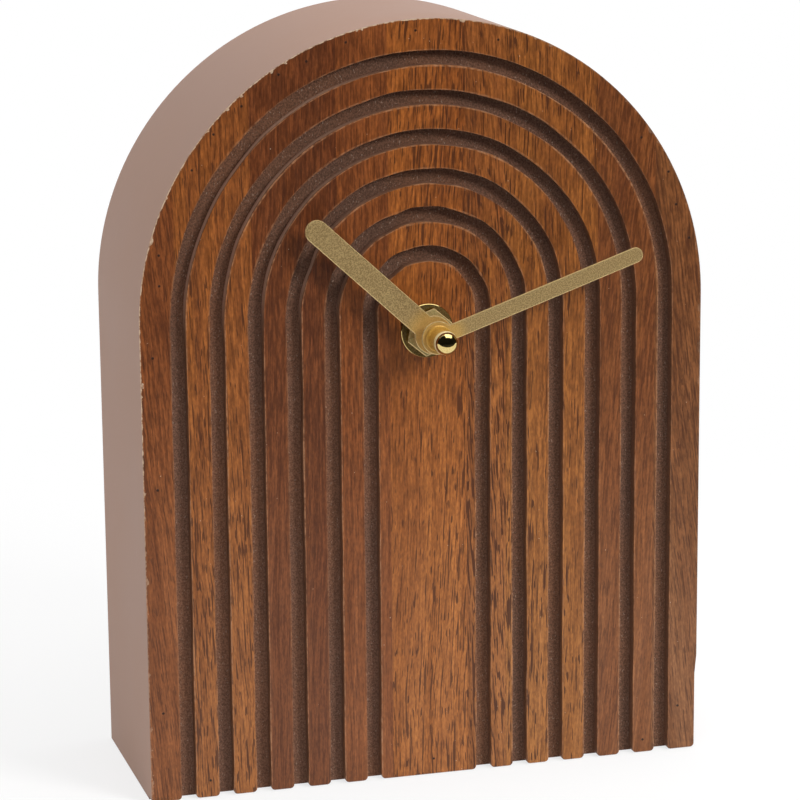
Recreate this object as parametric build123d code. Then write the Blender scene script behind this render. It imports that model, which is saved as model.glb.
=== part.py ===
from build123d import *
import math
import os

# Wooden desk clock: an arch-shaped fibreboard block, a hardwood face routed with concentric
# arch grooves, and a battery quartz movement in a pocket in the back. Sizes are millimetres.
# Origin at the centre of the underside of the block, +Z up, and the face looks along -Y.

# Block and face
CASE_WIDTH = 150.0
CASE_HEIGHT = 200.0
CASE_DEPTH = 55.0
FACE_THICKNESS = 3.0
FRONT_WALL = 7.0
BORDER_WIDTH = 8.0
GROOVE_COUNT = 6
GROOVE_WIDTH = 4.0
TONGUE_WIDTH = 26.0
PIVOT_DROP = 5.0
POCKET_GAP = 4.0
POCKET_CORNER = 5.0

# Stem, washers and nut
STEM_RADIUS = 3.95
STEM_HOLE_GAP = 0.5
STEM_END_PROUD = 0.8
STEM_FLANGE_HALF = 4.8
STEM_FLANGE_THICKNESS = 0.8
GASKET_RADIUS = 9.0
GASKET_THICKNESS = 1.0
WASHER_RADIUS = 7.0
WASHER_THICKNESS = 0.8
NUT_ACROSS_FLATS = 11.0
NUT_THICKNESS = 2.4
THREAD_GAP = 0.1

# Hands, read from the photo at about twelve minutes past ten
HOUR_HAND_STAND = 6.0
HOUR_HAND_LENGTH = 44.5
HOUR_HAND_WIDTH = 6.0
HOUR_BOSS_RADIUS = 5.0
HOUR_COLLAR_RADIUS = 3.6
HOUR_COLLAR_LENGTH = 1.4
HOUR_HAND_ANGLE = -47.0
MINUTE_HAND_STAND = 9.9
MINUTE_HAND_LENGTH = 58.0
MINUTE_HAND_WIDTH = 4.0
MINUTE_BOSS_RADIUS = 4.3
MINUTE_HAND_ANGLE = 71.0
HAND_THICKNESS = 0.6
BALL_RADIUS = 3.05
BALL_STAND = 6.5
BALL_FLANGE_RADIUS = 3.4
BALL_FLANGE_THICKNESS = 0.9
BALL_NECK_RADIUS = 2.5
BALL_BANDS = 7
ARBOR_TIP_RADIUS = 1.2
ARBOR_TIP_LENGTH = 3.0

# Fits
RUNNING_GAP = 0.05
PIVOT_GAP = 0.04
LOOSE_GAP = 0.3

# Movement housing
HOUSING_DEPTH = 14.6
HOUSING_FRONT_WALL = 1.4
HOUSING_SIDE_WALL = 1.2
HOUSING_CORNER = 2.0
REAR_COVER_THICKNESS = 1.4
COVER_LIP_WIDTH = 0.8
COVER_LIP_DEPTH = 1.0
COVER_LIP_GAP = 0.1
BAY_WALL = 1.0
PLATE_THICKNESS = 1.0
PILLAR_HALF = 1.3
BOSS_HALF = 1.6
PIVOT_DEPTH = 1.3

# Battery, size AA
BATTERY_DIAMETER = 14.5
BATTERY_LENGTH = 50.5
BATTERY_NUB_RADIUS = 2.75
BATTERY_NUB_LENGTH = 1.2
BATTERY_GAP = 0.25
CONTACT_THICKNESS = 0.3
CONTACT_WIDTH = 2.4
CONTACT_PLATE_HEIGHT = 8.0
CONTACT_PLATE_WIDTH = 5.0
SPRING_LEAF_RISE = 2.2
THUMB_NOTCH_RADIUS = 8.0
THUMB_NOTCH_DEPTH = 6.0

# Wheel train: tooth counts, centre distances and the directions of the arbors
HOUR_TEETH = 32
CANNON_TEETH = 8
MINUTE_TEETH = 24
MINUTE_PINION_TEETH = 8
KNOB_TEETH = 8
CENTRE_TEETH = 48
THIRD_TEETH = 45
THIRD_PINION_TEETH = 6
SECOND_TEETH = 36
SECOND_PINION_TEETH = 6
INTERMEDIATE_TEETH = 30
INTERMEDIATE_PINION_TEETH = 6
ROTOR_TEETH = 6
MOTION_DISTANCE = 12.0
THIRD_DISTANCE = 10.08
INTERMEDIATE_DISTANCE = 10.5
ROTOR_DISTANCE = 9.0
MINUTE_DIRECTION = 150.0
KNOB_DIRECTION = 200.0
THIRD_DIRECTION = 135.0
INTERMEDIATE_DIRECTION = 10.0
ROTOR_DIRECTION = 45.0

# Teeth: heights as shares of the module, widths as shares of the tooth pitch
ADDENDUM = 0.85
DEDENDUM = 1.25
TIP_SHARE = 0.18
ROOT_SHARE = 0.56

# Wheel layers, counted back from the front of the housing
MOTION_WHEEL_THICKNESS = 1.0
TRAIN_WHEEL_THICKNESS = 0.8
LAYER_GAP = 0.5
ARBOR_SIDES = 12
ARBOR_RADIUS = 0.45
POST_RADIUS = 0.8
PIPE_RADIUS = 2.6
MINUTE_ARBOR_RADIUS = 1.7
MINUTE_ARBOR_FLATS = 2.6
CLUTCH_RADIUS = 1.3
PIVOT_STUB = 1.2

# Setting knob
KNOB_RADIUS = 5.0
KNOB_THICKNESS = 3.6
KNOB_NECK_RADIUS = 2.0
KNOB_ARBOR_RADIUS = 1.2
KNOB_FLUTES = 18
KNOB_FLUTE_DEPTH = 0.5

# Step motor and circuit
MAGNET_RADIUS = 2.5
MAGNET_LENGTH = 1.8
STATOR_THICKNESS = 0.8
STATOR_AIR_GAP = 0.5
STATOR_POLE_HALF = 4.6
STATOR_NECK = 0.6
STATOR_LEG_WIDTH = 4.0
STATOR_ARM_WIDTH = 3.6
COIL_RISE = 13.4
COIL_SHIFT = -6.5
CORE_LENGTH = 30.0
CORE_WIDTH = 3.6
CORE_THICKNESS = 0.8
BOBBIN_FLANGE_HALF = 3.7
BOBBIN_FLANGE_THICKNESS = 0.8
BOBBIN_TUBE_HALF = 2.3
WINDING_RADIUS = 3.5
COIL_TOP_GAP = 1.5
BOARD_LENGTH = 16.5
BOARD_HEIGHT = 8.8
BOARD_THICKNESS = 0.8
CHIP_LENGTH = 5.0
CHIP_HEIGHT = 4.0
CHIP_THICKNESS = 1.0
CRYSTAL_RADIUS = 1.0
CRYSTAL_LENGTH = 6.0

# Arch and places along the depth of the clock
ARCH_RADIUS = CASE_WIDTH / 2
SPRING_LINE = CASE_HEIGHT - ARCH_RADIUS
SLAT_ROOM = ARCH_RADIUS - BORDER_WIDTH - TONGUE_WIDTH / 2 - GROOVE_COUNT * GROOVE_WIDTH
SLAT_WIDTH = SLAT_ROOM / (GROOVE_COUNT - 1)
PIVOT_Z = SPRING_LINE - PIVOT_DROP
FACE_Y = -CASE_DEPTH / 2
BACK_Y = CASE_DEPTH / 2
BOARD_Y = FACE_Y + FACE_THICKNESS
POCKET_FLOOR_Y = BOARD_Y + FRONT_WALL
HOUSING_Y = POCKET_FLOOR_Y + GASKET_THICKNESS
WASHER_Y = FACE_Y - WASHER_THICKNESS
NUT_Y = WASHER_Y - NUT_THICKNESS
STEM_END_Y = NUT_Y - STEM_END_PROUD
HOUR_HAND_Y = FACE_Y - HOUR_HAND_STAND - HAND_THICKNESS
MINUTE_HAND_Y = FACE_Y - MINUTE_HAND_STAND - HAND_THICKNESS
BALL_Y = MINUTE_HAND_Y - BALL_STAND
COVER_Y = HOUSING_Y + HOUSING_DEPTH
COVER_BACK_Y = COVER_Y + REAR_COVER_THICKNESS

# Wheel layers along the depth of the clock
HOUR_WHEEL_Y = HOUSING_Y + HOUSING_FRONT_WALL + LOOSE_GAP
MINUTE_WHEEL_Y = HOUR_WHEEL_Y + MOTION_WHEEL_THICKNESS + LAYER_GAP
PLATE_Y = MINUTE_WHEEL_Y + MOTION_WHEEL_THICKNESS + LAYER_GAP
PLATE_BACK_Y = PLATE_Y + PLATE_THICKNESS
LAYER_STEP = TRAIN_WHEEL_THICKNESS + LAYER_GAP
CENTRE_WHEEL_Y = PLATE_BACK_Y + LAYER_GAP
THIRD_WHEEL_Y = CENTRE_WHEEL_Y + LAYER_STEP
SECOND_WHEEL_Y = THIRD_WHEEL_Y + LAYER_STEP
INTERMEDIATE_WHEEL_Y = SECOND_WHEEL_Y + LAYER_STEP
TRAIN_BACK_Y = INTERMEDIATE_WHEEL_Y + TRAIN_WHEEL_THICKNESS
BOSS_Y = TRAIN_BACK_Y + LAYER_GAP
STATOR_Y = THIRD_WHEEL_Y + TRAIN_WHEEL_THICKNESS + LOOSE_GAP
CORE_Y = STATOR_Y + STATOR_THICKNESS
MAGNET_Y = INTERMEDIATE_WHEEL_Y - LOOSE_GAP - MAGNET_LENGTH

# Modules that follow from the centre distances
CANNON_MODULE = 2 * MOTION_DISTANCE / (CANNON_TEETH + MINUTE_TEETH)
HOUR_MODULE = 2 * MOTION_DISTANCE / (MINUTE_PINION_TEETH + HOUR_TEETH)
CENTRE_MODULE = 2 * THIRD_DISTANCE / (THIRD_PINION_TEETH + CENTRE_TEETH)
THIRD_MODULE = 2 * THIRD_DISTANCE / (SECOND_PINION_TEETH + THIRD_TEETH)
SECOND_MODULE = 2 * INTERMEDIATE_DISTANCE / (INTERMEDIATE_PINION_TEETH + SECOND_TEETH)
ROTOR_MODULE = 2 * ROTOR_DISTANCE / (ROTOR_TEETH + INTERMEDIATE_TEETH)
KNOB_DISTANCE = CANNON_MODULE * (KNOB_TEETH + MINUTE_TEETH) / 2


def tip_radius(teeth, module):
    return module * (teeth / 2 + ADDENDUM)


def step_from(place, distance, direction):
    """The (x, z) place at a distance from another, in a direction counted from +X towards +Z."""
    angle = math.radians(direction)
    return place[0] + distance * math.cos(angle), place[1] + distance * math.sin(angle)


# Arbor places as (x, z)
CENTRE = (0.0, PIVOT_Z)
MINUTE = step_from(CENTRE, MOTION_DISTANCE, MINUTE_DIRECTION)
KNOB = step_from(MINUTE, KNOB_DISTANCE, KNOB_DIRECTION)
THIRD = step_from(CENTRE, THIRD_DISTANCE, THIRD_DIRECTION)
INTERMEDIATE = step_from(CENTRE, INTERMEDIATE_DISTANCE, INTERMEDIATE_DIRECTION)
ROTOR = step_from(INTERMEDIATE, ROTOR_DISTANCE, ROTOR_DIRECTION)

# Inside of the housing: the train sits above the battery bay
INNER_RIGHT = (BATTERY_LENGTH + SPRING_LEAF_RISE) / 2 + CONTACT_THICKNESS
INNER_LEFT = -INNER_RIGHT
COIL_X = ROTOR[0] + COIL_SHIFT
COIL_Z = ROTOR[1] + COIL_RISE
COIL_Y = CORE_Y + CORE_THICKNESS / 2
INNER_TOP = COIL_Z + BOBBIN_FLANGE_HALF + COIL_TOP_GAP
TRAIN_FLOOR = PIVOT_Z - tip_radius(HOUR_TEETH, HOUR_MODULE) - 2 * LAYER_GAP
BAY_TOP = TRAIN_FLOOR - BAY_WALL
BATTERY_Z = BAY_TOP - BATTERY_GAP - BATTERY_DIAMETER / 2
BATTERY_Y = HOUSING_Y + HOUSING_FRONT_WALL + BATTERY_GAP + BATTERY_DIAMETER / 2
BAY_BOTTOM = BATTERY_Z - BATTERY_DIAMETER / 2 - BATTERY_GAP
HOUSING_LEFT = INNER_LEFT - HOUSING_SIDE_WALL
HOUSING_RIGHT = INNER_RIGHT + HOUSING_SIDE_WALL
HOUSING_TOP = INNER_TOP + HOUSING_SIDE_WALL
HOUSING_BOTTOM = BAY_BOTTOM - HOUSING_SIDE_WALL
STRIP_Y = PLATE_BACK_Y + LOOSE_GAP
CORE_LEFT = COIL_X - CORE_LENGTH / 2
CORE_RIGHT = COIL_X + CORE_LENGTH / 2
LEFT_PILLAR = (CORE_LEFT + STATOR_LEG_WIDTH / 2, COIL_Z)
RIGHT_PILLAR = (CORE_RIGHT - STATOR_LEG_WIDTH / 2, COIL_Z)


# Building helpers: profiles are drawn in (x, z) and given depth along Y

def slab(profile, front, back):
    """A flat profile with its depth from y = front to y = back."""
    return Pos(0, back, 0) * extrude(Plane.XZ * profile, back - front)


def rod(place, radius, front, back):
    return slab(Pos(*place) * Circle(radius), front, back)


def pin(place, radius, front, back):
    """A fine arbor or post with few sides, its corners at the radius."""
    return slab(Pos(*place) * RegularPolygon(radius, ARBOR_SIDES), front, back)


def clear_outline(radius):
    """The outline of a hidden hole with few sides, which clear the radius."""
    return RegularPolygon(radius, ARBOR_SIDES, major_radius=False)


def pin_hole(place, radius, front, back):
    return slab(Pos(*place) * clear_outline(radius), front, back)


def post(place, half, front, back):
    """A square post about an (x, z) place."""
    return slab(Pos(*place) * Rectangle(2 * half, 2 * half), front, back)


def panel(left, right, low, high):
    """A rectangle between two x and two z values."""
    return Pos((left + right) / 2, (low + high) / 2) * Rectangle(right - left, high - low)


def arch(half_width):
    """An arch standing on the underside of the block, concentric with its top."""
    legs = Polyline((half_width, SPRING_LINE), (half_width, 0), (-half_width, 0), (-half_width, SPRING_LINE))
    return make_face([legs, CenterArc((0, SPRING_LINE), half_width, 0, 180)])


def arch_band(outer, inner):
    return arch(outer) - arch(inner)


def toothed(place, teeth, module, phase):
    """A wheel or pinion outline with straight-flanked teeth, one of them pointing at the phase angle."""
    root = module * (teeth / 2 - DEDENDUM)
    tip = tip_radius(teeth, module)
    pitch = 360 / teeth
    points = []
    for tooth in range(teeth):
        middle = phase + tooth * pitch
        for radius, turn in ((root, -ROOT_SHARE), (tip, -TIP_SHARE), (tip, TIP_SHARE), (root, ROOT_SHARE)):
            points.append(step_from(place, radius, middle + turn * pitch / 2))
    return make_face(Polyline(*points, close=True))


def meshing_phase(driver_teeth, driver_phase, direction, teeth):
    """Phase of a wheel whose gap faces the driver's tooth, with the driver's arbor behind it in a direction."""
    share = (direction - driver_phase) * driver_teeth / 360
    return direction + 180 - (0.5 - share) * 360 / teeth


# Tooth phases, each wheel set in mesh with the one before it
CANNON_PHASE = 0.0
MINUTE_PHASE = meshing_phase(CANNON_TEETH, CANNON_PHASE, MINUTE_DIRECTION, MINUTE_TEETH)
KNOB_PHASE = meshing_phase(MINUTE_TEETH, MINUTE_PHASE, KNOB_DIRECTION, KNOB_TEETH)
MINUTE_PINION_PHASE = 0.0
HOUR_PHASE = meshing_phase(MINUTE_PINION_TEETH, MINUTE_PINION_PHASE, MINUTE_DIRECTION + 180, HOUR_TEETH)
ROTOR_PHASE = 0.0
INTERMEDIATE_PHASE = meshing_phase(ROTOR_TEETH, ROTOR_PHASE, ROTOR_DIRECTION + 180, INTERMEDIATE_TEETH)
INTERMEDIATE_PINION_PHASE = 0.0
SECOND_PHASE = meshing_phase(
    INTERMEDIATE_PINION_TEETH, INTERMEDIATE_PINION_PHASE, INTERMEDIATE_DIRECTION + 180, SECOND_TEETH
)
SECOND_PINION_PHASE = 0.0
THIRD_PHASE = meshing_phase(SECOND_PINION_TEETH, SECOND_PINION_PHASE, THIRD_DIRECTION, THIRD_TEETH)
THIRD_PINION_PHASE = 0.0
CENTRE_PHASE = meshing_phase(THIRD_PINION_TEETH, THIRD_PINION_PHASE, THIRD_DIRECTION + 180, CENTRE_TEETH)


# Block and face

def groove_edges():
    """Outer and inner half-widths of the grooves, from the border inwards."""
    step = GROOVE_WIDTH + SLAT_WIDTH
    first = ARCH_RADIUS - BORDER_WIDTH
    return [(first - i * step, first - i * step - GROOVE_WIDTH) for i in range(GROOVE_COUNT)]


def case_body():
    block = slab(arch(ARCH_RADIUS), BOARD_Y, BACK_Y)
    pocket = RectangleRounded(
        HOUSING_RIGHT - HOUSING_LEFT + 2 * POCKET_GAP, HOUSING_TOP - HOUSING_BOTTOM + 2 * POCKET_GAP, POCKET_CORNER
    )
    block -= slab(Pos(0, (HOUSING_TOP + HOUSING_BOTTOM) / 2) * pocket, POCKET_FLOOR_Y, BACK_Y)
    return block - rod(CENTRE, STEM_RADIUS + STEM_HOLE_GAP, BOARD_Y, POCKET_FLOOR_Y)


def face_border():
    return slab(arch_band(ARCH_RADIUS, groove_edges()[0][0]), FACE_Y, BOARD_Y)


def face_slat(number):
    """The slat between one groove and the next, counted from the border inwards."""
    edges = groove_edges()
    return slab(arch_band(edges[number - 1][1], edges[number][0]), FACE_Y, BOARD_Y)


def face_tongue():
    tongue = slab(arch(groove_edges()[-1][1]), FACE_Y, BOARD_Y)
    return tongue - rod(CENTRE, STEM_RADIUS + STEM_HOLE_GAP, FACE_Y, BOARD_Y)


# Stem and its fastenings

def threaded_stem():
    flange_back = HOUSING_Y + HOUSING_FRONT_WALL
    stem = rod(CENTRE, STEM_RADIUS, STEM_END_Y, flange_back)
    stem += post(CENTRE, STEM_FLANGE_HALF, flange_back - STEM_FLANGE_THICKNESS, flange_back)
    return stem - pin_hole(CENTRE, PIPE_RADIUS + RUNNING_GAP, STEM_END_Y, flange_back)


def rubber_washer():
    ring = Circle(GASKET_RADIUS) - clear_outline(STEM_RADIUS + THREAD_GAP)
    return slab(Pos(*CENTRE) * ring, POCKET_FLOOR_Y, HOUSING_Y)


def front_washer():
    ring = Circle(WASHER_RADIUS) - clear_outline(STEM_RADIUS + THREAD_GAP)
    return slab(Pos(*CENTRE) * ring, WASHER_Y, FACE_Y)


def fixing_nut():
    corner = NUT_ACROSS_FLATS / math.sqrt(3)
    ring = RegularPolygon(corner, 6) - clear_outline(STEM_RADIUS + THREAD_GAP)
    return slab(Pos(*CENTRE) * ring, NUT_Y, WASHER_Y)


# Hands

def hand(length, width, boss_radius, hole, angle, front):
    """A flat bar with a round tip and a round boss, turned clockwise from twelve o'clock."""
    bar = Pos(0, (length - width / 2) / 2) * Rectangle(width, length - width / 2)
    tip = Pos(0, length - width / 2) * Circle(width / 2)
    outline = bar + tip + Circle(boss_radius) - hole
    return slab(Pos(*CENTRE) * Rot(0, 0, -angle) * outline, front, front + HAND_THICKNESS)


def arbor_flats():
    return Circle(MINUTE_ARBOR_RADIUS) & Rectangle(MINUTE_ARBOR_FLATS, 2 * MINUTE_ARBOR_RADIUS)


def hour_hand():
    plate = hand(
        HOUR_HAND_LENGTH, HOUR_HAND_WIDTH, HOUR_BOSS_RADIUS, Circle(PIPE_RADIUS), HOUR_HAND_ANGLE, HOUR_HAND_Y
    )
    collar = RegularPolygon(HOUR_COLLAR_RADIUS, ARBOR_SIDES) - Circle(PIPE_RADIUS)
    back = HOUR_HAND_Y + HAND_THICKNESS
    return plate + slab(Pos(*CENTRE) * collar, back, back + HOUR_COLLAR_LENGTH)


def minute_hand():
    return hand(
        MINUTE_HAND_LENGTH,
        MINUTE_HAND_WIDTH,
        MINUTE_BOSS_RADIUS,
        arbor_flats(),
        MINUTE_HAND_ANGLE,
        MINUTE_HAND_Y,
    )


def ball_nut():
    """A flange, a neck and a ball in fine bands, turned in one piece with a blind hole for the arbor's tip."""
    flange_y = MINUTE_HAND_Y - BALL_FLANGE_THICKNESS
    hole_y = MINUTE_HAND_Y - ARBOR_TIP_LENGTH
    points = [
        (0, BALL_Y - BALL_RADIUS),
        (0, hole_y),
        (ARBOR_TIP_RADIUS, hole_y),
        (ARBOR_TIP_RADIUS, MINUTE_HAND_Y),
        (BALL_FLANGE_RADIUS, MINUTE_HAND_Y),
        (BALL_FLANGE_RADIUS, flange_y),
        (BALL_NECK_RADIUS, flange_y),
    ]
    neck_turn = math.asin(BALL_NECK_RADIUS / BALL_RADIUS)
    for band in range(BALL_BANDS):
        turn = neck_turn + (math.pi - neck_turn) * band / BALL_BANDS
        points.append((BALL_RADIUS * math.sin(turn), BALL_Y + BALL_RADIUS * math.cos(turn)))
    return Pos(0, 0, PIVOT_Z) * revolve(make_face(Polyline(*points, close=True)), Axis.Y)


# Motion work: the wheels that carry the hands

def hour_wheel():
    back = HOUR_WHEEL_Y + MOTION_WHEEL_THICKNESS
    wheel = slab(toothed(CENTRE, HOUR_TEETH, HOUR_MODULE, HOUR_PHASE), HOUR_WHEEL_Y, back)
    wheel += rod(CENTRE, PIPE_RADIUS, HOUR_HAND_Y, HOUR_WHEEL_Y)
    return wheel - rod(CENTRE, MINUTE_ARBOR_RADIUS + RUNNING_GAP, HOUR_HAND_Y, back)


def minute_arbor():
    cannon_back = PLATE_Y - LOOSE_GAP
    clutch_back = CENTRE_WHEEL_Y + TRAIN_WHEEL_THICKNESS
    arbor = rod(CENTRE, MINUTE_ARBOR_RADIUS, MINUTE_HAND_Y + HAND_THICKNESS, cannon_back)
    flats = Pos(*CENTRE) * Rot(0, 0, -MINUTE_HAND_ANGLE) * arbor_flats()
    arbor += slab(flats, MINUTE_HAND_Y, MINUTE_HAND_Y + HAND_THICKNESS)
    arbor += pin(CENTRE, ARBOR_TIP_RADIUS, MINUTE_HAND_Y - ARBOR_TIP_LENGTH, MINUTE_HAND_Y)
    arbor += slab(toothed(CENTRE, CANNON_TEETH, CANNON_MODULE, CANNON_PHASE), MINUTE_WHEEL_Y, cannon_back)
    arbor += pin(CENTRE, CLUTCH_RADIUS, cannon_back, clutch_back)
    pivot_y = clutch_back - PIVOT_STUB - LOOSE_GAP
    return arbor - pin_hole(CENTRE, ARBOR_RADIUS + PIVOT_GAP, pivot_y, clutch_back)


def minute_wheel():
    back = MINUTE_WHEEL_Y + MOTION_WHEEL_THICKNESS
    wheel = slab(toothed(MINUTE, MINUTE_TEETH, CANNON_MODULE, MINUTE_PHASE), MINUTE_WHEEL_Y, back)
    pinion = toothed(MINUTE, MINUTE_PINION_TEETH, HOUR_MODULE, MINUTE_PINION_PHASE)
    wheel += slab(pinion, HOUR_WHEEL_Y, MINUTE_WHEEL_Y)
    return wheel - pin_hole(MINUTE, POST_RADIUS + PIVOT_GAP, HOUR_WHEEL_Y, back)


def setting_knob():
    pinion_back = MINUTE_WHEEL_Y + MOTION_WHEEL_THICKNESS
    knob_front = COVER_BACK_Y + LOOSE_GAP
    pinion = slab(toothed(KNOB, KNOB_TEETH, CANNON_MODULE, KNOB_PHASE), MINUTE_WHEEL_Y, pinion_back)
    knob = pinion + pin(KNOB, POST_RADIUS, MINUTE_WHEEL_Y - PIVOT_STUB, MINUTE_WHEEL_Y)
    knob += pin(KNOB, KNOB_ARBOR_RADIUS, pinion_back, COVER_Y - LOOSE_GAP)
    knob += pin(KNOB, KNOB_NECK_RADIUS, COVER_Y - LOOSE_GAP, knob_front)
    points = []
    for ridge in range(KNOB_FLUTES):
        for radius, turn in ((KNOB_RADIUS, 0), (KNOB_RADIUS - KNOB_FLUTE_DEPTH, 0.5)):
            points.append(step_from(KNOB, radius, (ridge + turn) * 360 / KNOB_FLUTES))
    rim = make_face(Polyline(*points, close=True))
    return knob + slab(rim, knob_front, knob_front + KNOB_THICKNESS)


# Going train: from the rotor to the centre wheel, which drives the minute arbor by friction

def centre_wheel():
    back = CENTRE_WHEEL_Y + TRAIN_WHEEL_THICKNESS
    wheel = slab(toothed(CENTRE, CENTRE_TEETH, CENTRE_MODULE, CENTRE_PHASE), CENTRE_WHEEL_Y, back)
    return wheel - pin_hole(CENTRE, CLUTCH_RADIUS + PIVOT_GAP, CENTRE_WHEEL_Y, back)


def train_wheel(place, wheel, pinion, wheel_y, pinion_front, arbor_front):
    """A wheel with its pinion in front of it, on an arbor that ends in the rear cover's boss."""
    piece = slab(wheel, wheel_y, wheel_y + TRAIN_WHEEL_THICKNESS)
    piece += slab(pinion, pinion_front, wheel_y)
    return piece + pin(place, ARBOR_RADIUS, arbor_front, BOSS_Y + PIVOT_DEPTH)


def third_wheel():
    return train_wheel(
        THIRD,
        toothed(THIRD, THIRD_TEETH, THIRD_MODULE, THIRD_PHASE),
        toothed(THIRD, THIRD_PINION_TEETH, CENTRE_MODULE, THIRD_PINION_PHASE),
        THIRD_WHEEL_Y,
        PLATE_BACK_Y + LOOSE_GAP,
        PLATE_Y,
    )


def second_wheel():
    pinion_front = CENTRE_WHEEL_Y + TRAIN_WHEEL_THICKNESS + LOOSE_GAP
    return train_wheel(
        CENTRE,
        toothed(CENTRE, SECOND_TEETH, SECOND_MODULE, SECOND_PHASE),
        toothed(CENTRE, SECOND_PINION_TEETH, THIRD_MODULE, SECOND_PINION_PHASE),
        SECOND_WHEEL_Y,
        pinion_front,
        pinion_front - LOOSE_GAP - PIVOT_STUB,
    )


def intermediate_wheel():
    return train_wheel(
        INTERMEDIATE,
        toothed(INTERMEDIATE, INTERMEDIATE_TEETH, ROTOR_MODULE, INTERMEDIATE_PHASE),
        toothed(INTERMEDIATE, INTERMEDIATE_PINION_TEETH, SECOND_MODULE, INTERMEDIATE_PINION_PHASE),
        INTERMEDIATE_WHEEL_Y,
        SECOND_WHEEL_Y - LOOSE_GAP,
        PLATE_Y,
    )


def rotor_pinion():
    front = MAGNET_Y + MAGNET_LENGTH
    pinion = slab(toothed(ROTOR, ROTOR_TEETH, ROTOR_MODULE, ROTOR_PHASE), front, TRAIN_BACK_Y)
    return pinion + pin(ROTOR, ARBOR_RADIUS, PLATE_Y, BOSS_Y + PIVOT_DEPTH)


def rotor_magnet():
    ring = Circle(MAGNET_RADIUS) - RegularPolygon(ARBOR_RADIUS, ARBOR_SIDES)
    return slab(Pos(*ROTOR) * ring, MAGNET_Y, MAGNET_Y + MAGNET_LENGTH)


# Step motor

def stator():
    pole_low = ROTOR[1] - STATOR_POLE_HALF
    pole_high = ROTOR[1] + STATOR_POLE_HALF
    leg_top = COIL_Z + CORE_WIDTH / 2
    pole_left = ROTOR[0] - STATOR_POLE_HALF
    left_leg = panel(CORE_LEFT, CORE_LEFT + STATOR_LEG_WIDTH, pole_high, leg_top)
    right_leg = panel(CORE_RIGHT - STATOR_LEG_WIDTH, CORE_RIGHT, pole_low, leg_top)
    arm = panel(CORE_LEFT, ROTOR[0], pole_high, pole_high + STATOR_ARM_WIDTH)
    pole = panel(pole_left, CORE_RIGHT, pole_low, pole_high)
    plate = left_leg + right_leg + arm + pole
    bore_radius = MAGNET_RADIUS + STATOR_AIR_GAP
    plate -= Pos(*ROTOR) * clear_outline(bore_radius)
    notch_top = ROTOR[1] - bore_radius - STATOR_NECK
    plate -= panel(ROTOR[0] - STATOR_NECK, ROTOR[0] + STATOR_NECK, pole_low, notch_top)
    return slab(plate, STATOR_Y, STATOR_Y + STATOR_THICKNESS)


def coil_core():
    half = CORE_WIDTH / 2
    bar = panel(CORE_LEFT, CORE_RIGHT, COIL_Z - half, COIL_Z + half)
    return slab(bar, CORE_Y, CORE_Y + CORE_THICKNESS)


def along_coil(profile, left, right):
    """A profile on the coil's axis, from one x to another."""
    return Pos(left, COIL_Y, COIL_Z) * extrude(Plane.YZ * profile, right - left)


def coil_ends():
    return CORE_LEFT + STATOR_LEG_WIDTH + LOOSE_GAP, CORE_RIGHT - STATOR_LEG_WIDTH - LOOSE_GAP


def bobbin_tube():
    return Rectangle(2 * BOBBIN_TUBE_HALF, 2 * BOBBIN_TUBE_HALF)


def coil_bobbin():
    left, right = coil_ends()
    flange = Rectangle(2 * BOBBIN_FLANGE_HALF, 2 * BOBBIN_FLANGE_HALF)
    bobbin = along_coil(bobbin_tube(), left, right)
    bobbin += along_coil(flange, left, left + BOBBIN_FLANGE_THICKNESS)
    bobbin += along_coil(flange, right - BOBBIN_FLANGE_THICKNESS, right)
    return bobbin - along_coil(Rectangle(CORE_THICKNESS, CORE_WIDTH), left, right)


def coil_winding():
    left, right = coil_ends()
    ring = Circle(WINDING_RADIUS) - bobbin_tube()
    return along_coil(ring, left + BOBBIN_FLANGE_THICKNESS, right - BOBBIN_FLANGE_THICKNESS)


# Circuit and battery

def board_corner():
    """The left and lower edges of the circuit board, held in the corner by the contact strips."""
    return INNER_LEFT + CONTACT_THICKNESS, INNER_TOP - CONTACT_THICKNESS - BOARD_HEIGHT


def circuit_board():
    left, low = board_corner()
    board = panel(left, left + BOARD_LENGTH, low, low + BOARD_HEIGHT)
    return slab(board, PLATE_BACK_Y, PLATE_BACK_Y + BOARD_THICKNESS)


def chip():
    left, low = board_corner()
    front = PLATE_BACK_Y + BOARD_THICKNESS
    place = Pos(left + CHIP_LENGTH, low + BOARD_HEIGHT / 2)
    return slab(place * Rectangle(CHIP_LENGTH, CHIP_HEIGHT), front, front + CHIP_THICKNESS)


def crystal():
    left, low = board_corner()
    depth = PLATE_BACK_Y + BOARD_THICKNESS + CRYSTAL_RADIUS
    place = Pos(left + BOARD_LENGTH - CRYSTAL_LENGTH - CRYSTAL_RADIUS, depth, low + BOARD_HEIGHT / 2)
    return place * extrude(Plane.YZ * Circle(CRYSTAL_RADIUS), CRYSTAL_LENGTH)


def contact_plate(x_left):
    """The broad end of a contact, across the end of the battery."""
    half = CONTACT_PLATE_HEIGHT / 2
    plate = panel(x_left, x_left + CONTACT_THICKNESS, BATTERY_Z - half, BATTERY_Z + half)
    return slab(plate, BATTERY_Y - CONTACT_PLATE_WIDTH / 2, BATTERY_Y + CONTACT_PLATE_WIDTH / 2)


def positive_contact():
    top = board_corner()[1] + BOARD_HEIGHT / 2
    strip = panel(INNER_LEFT, INNER_LEFT + CONTACT_THICKNESS, BATTERY_Z, top)
    return contact_plate(INNER_LEFT) + slab(strip, STRIP_Y, STRIP_Y + CONTACT_WIDTH)


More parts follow.
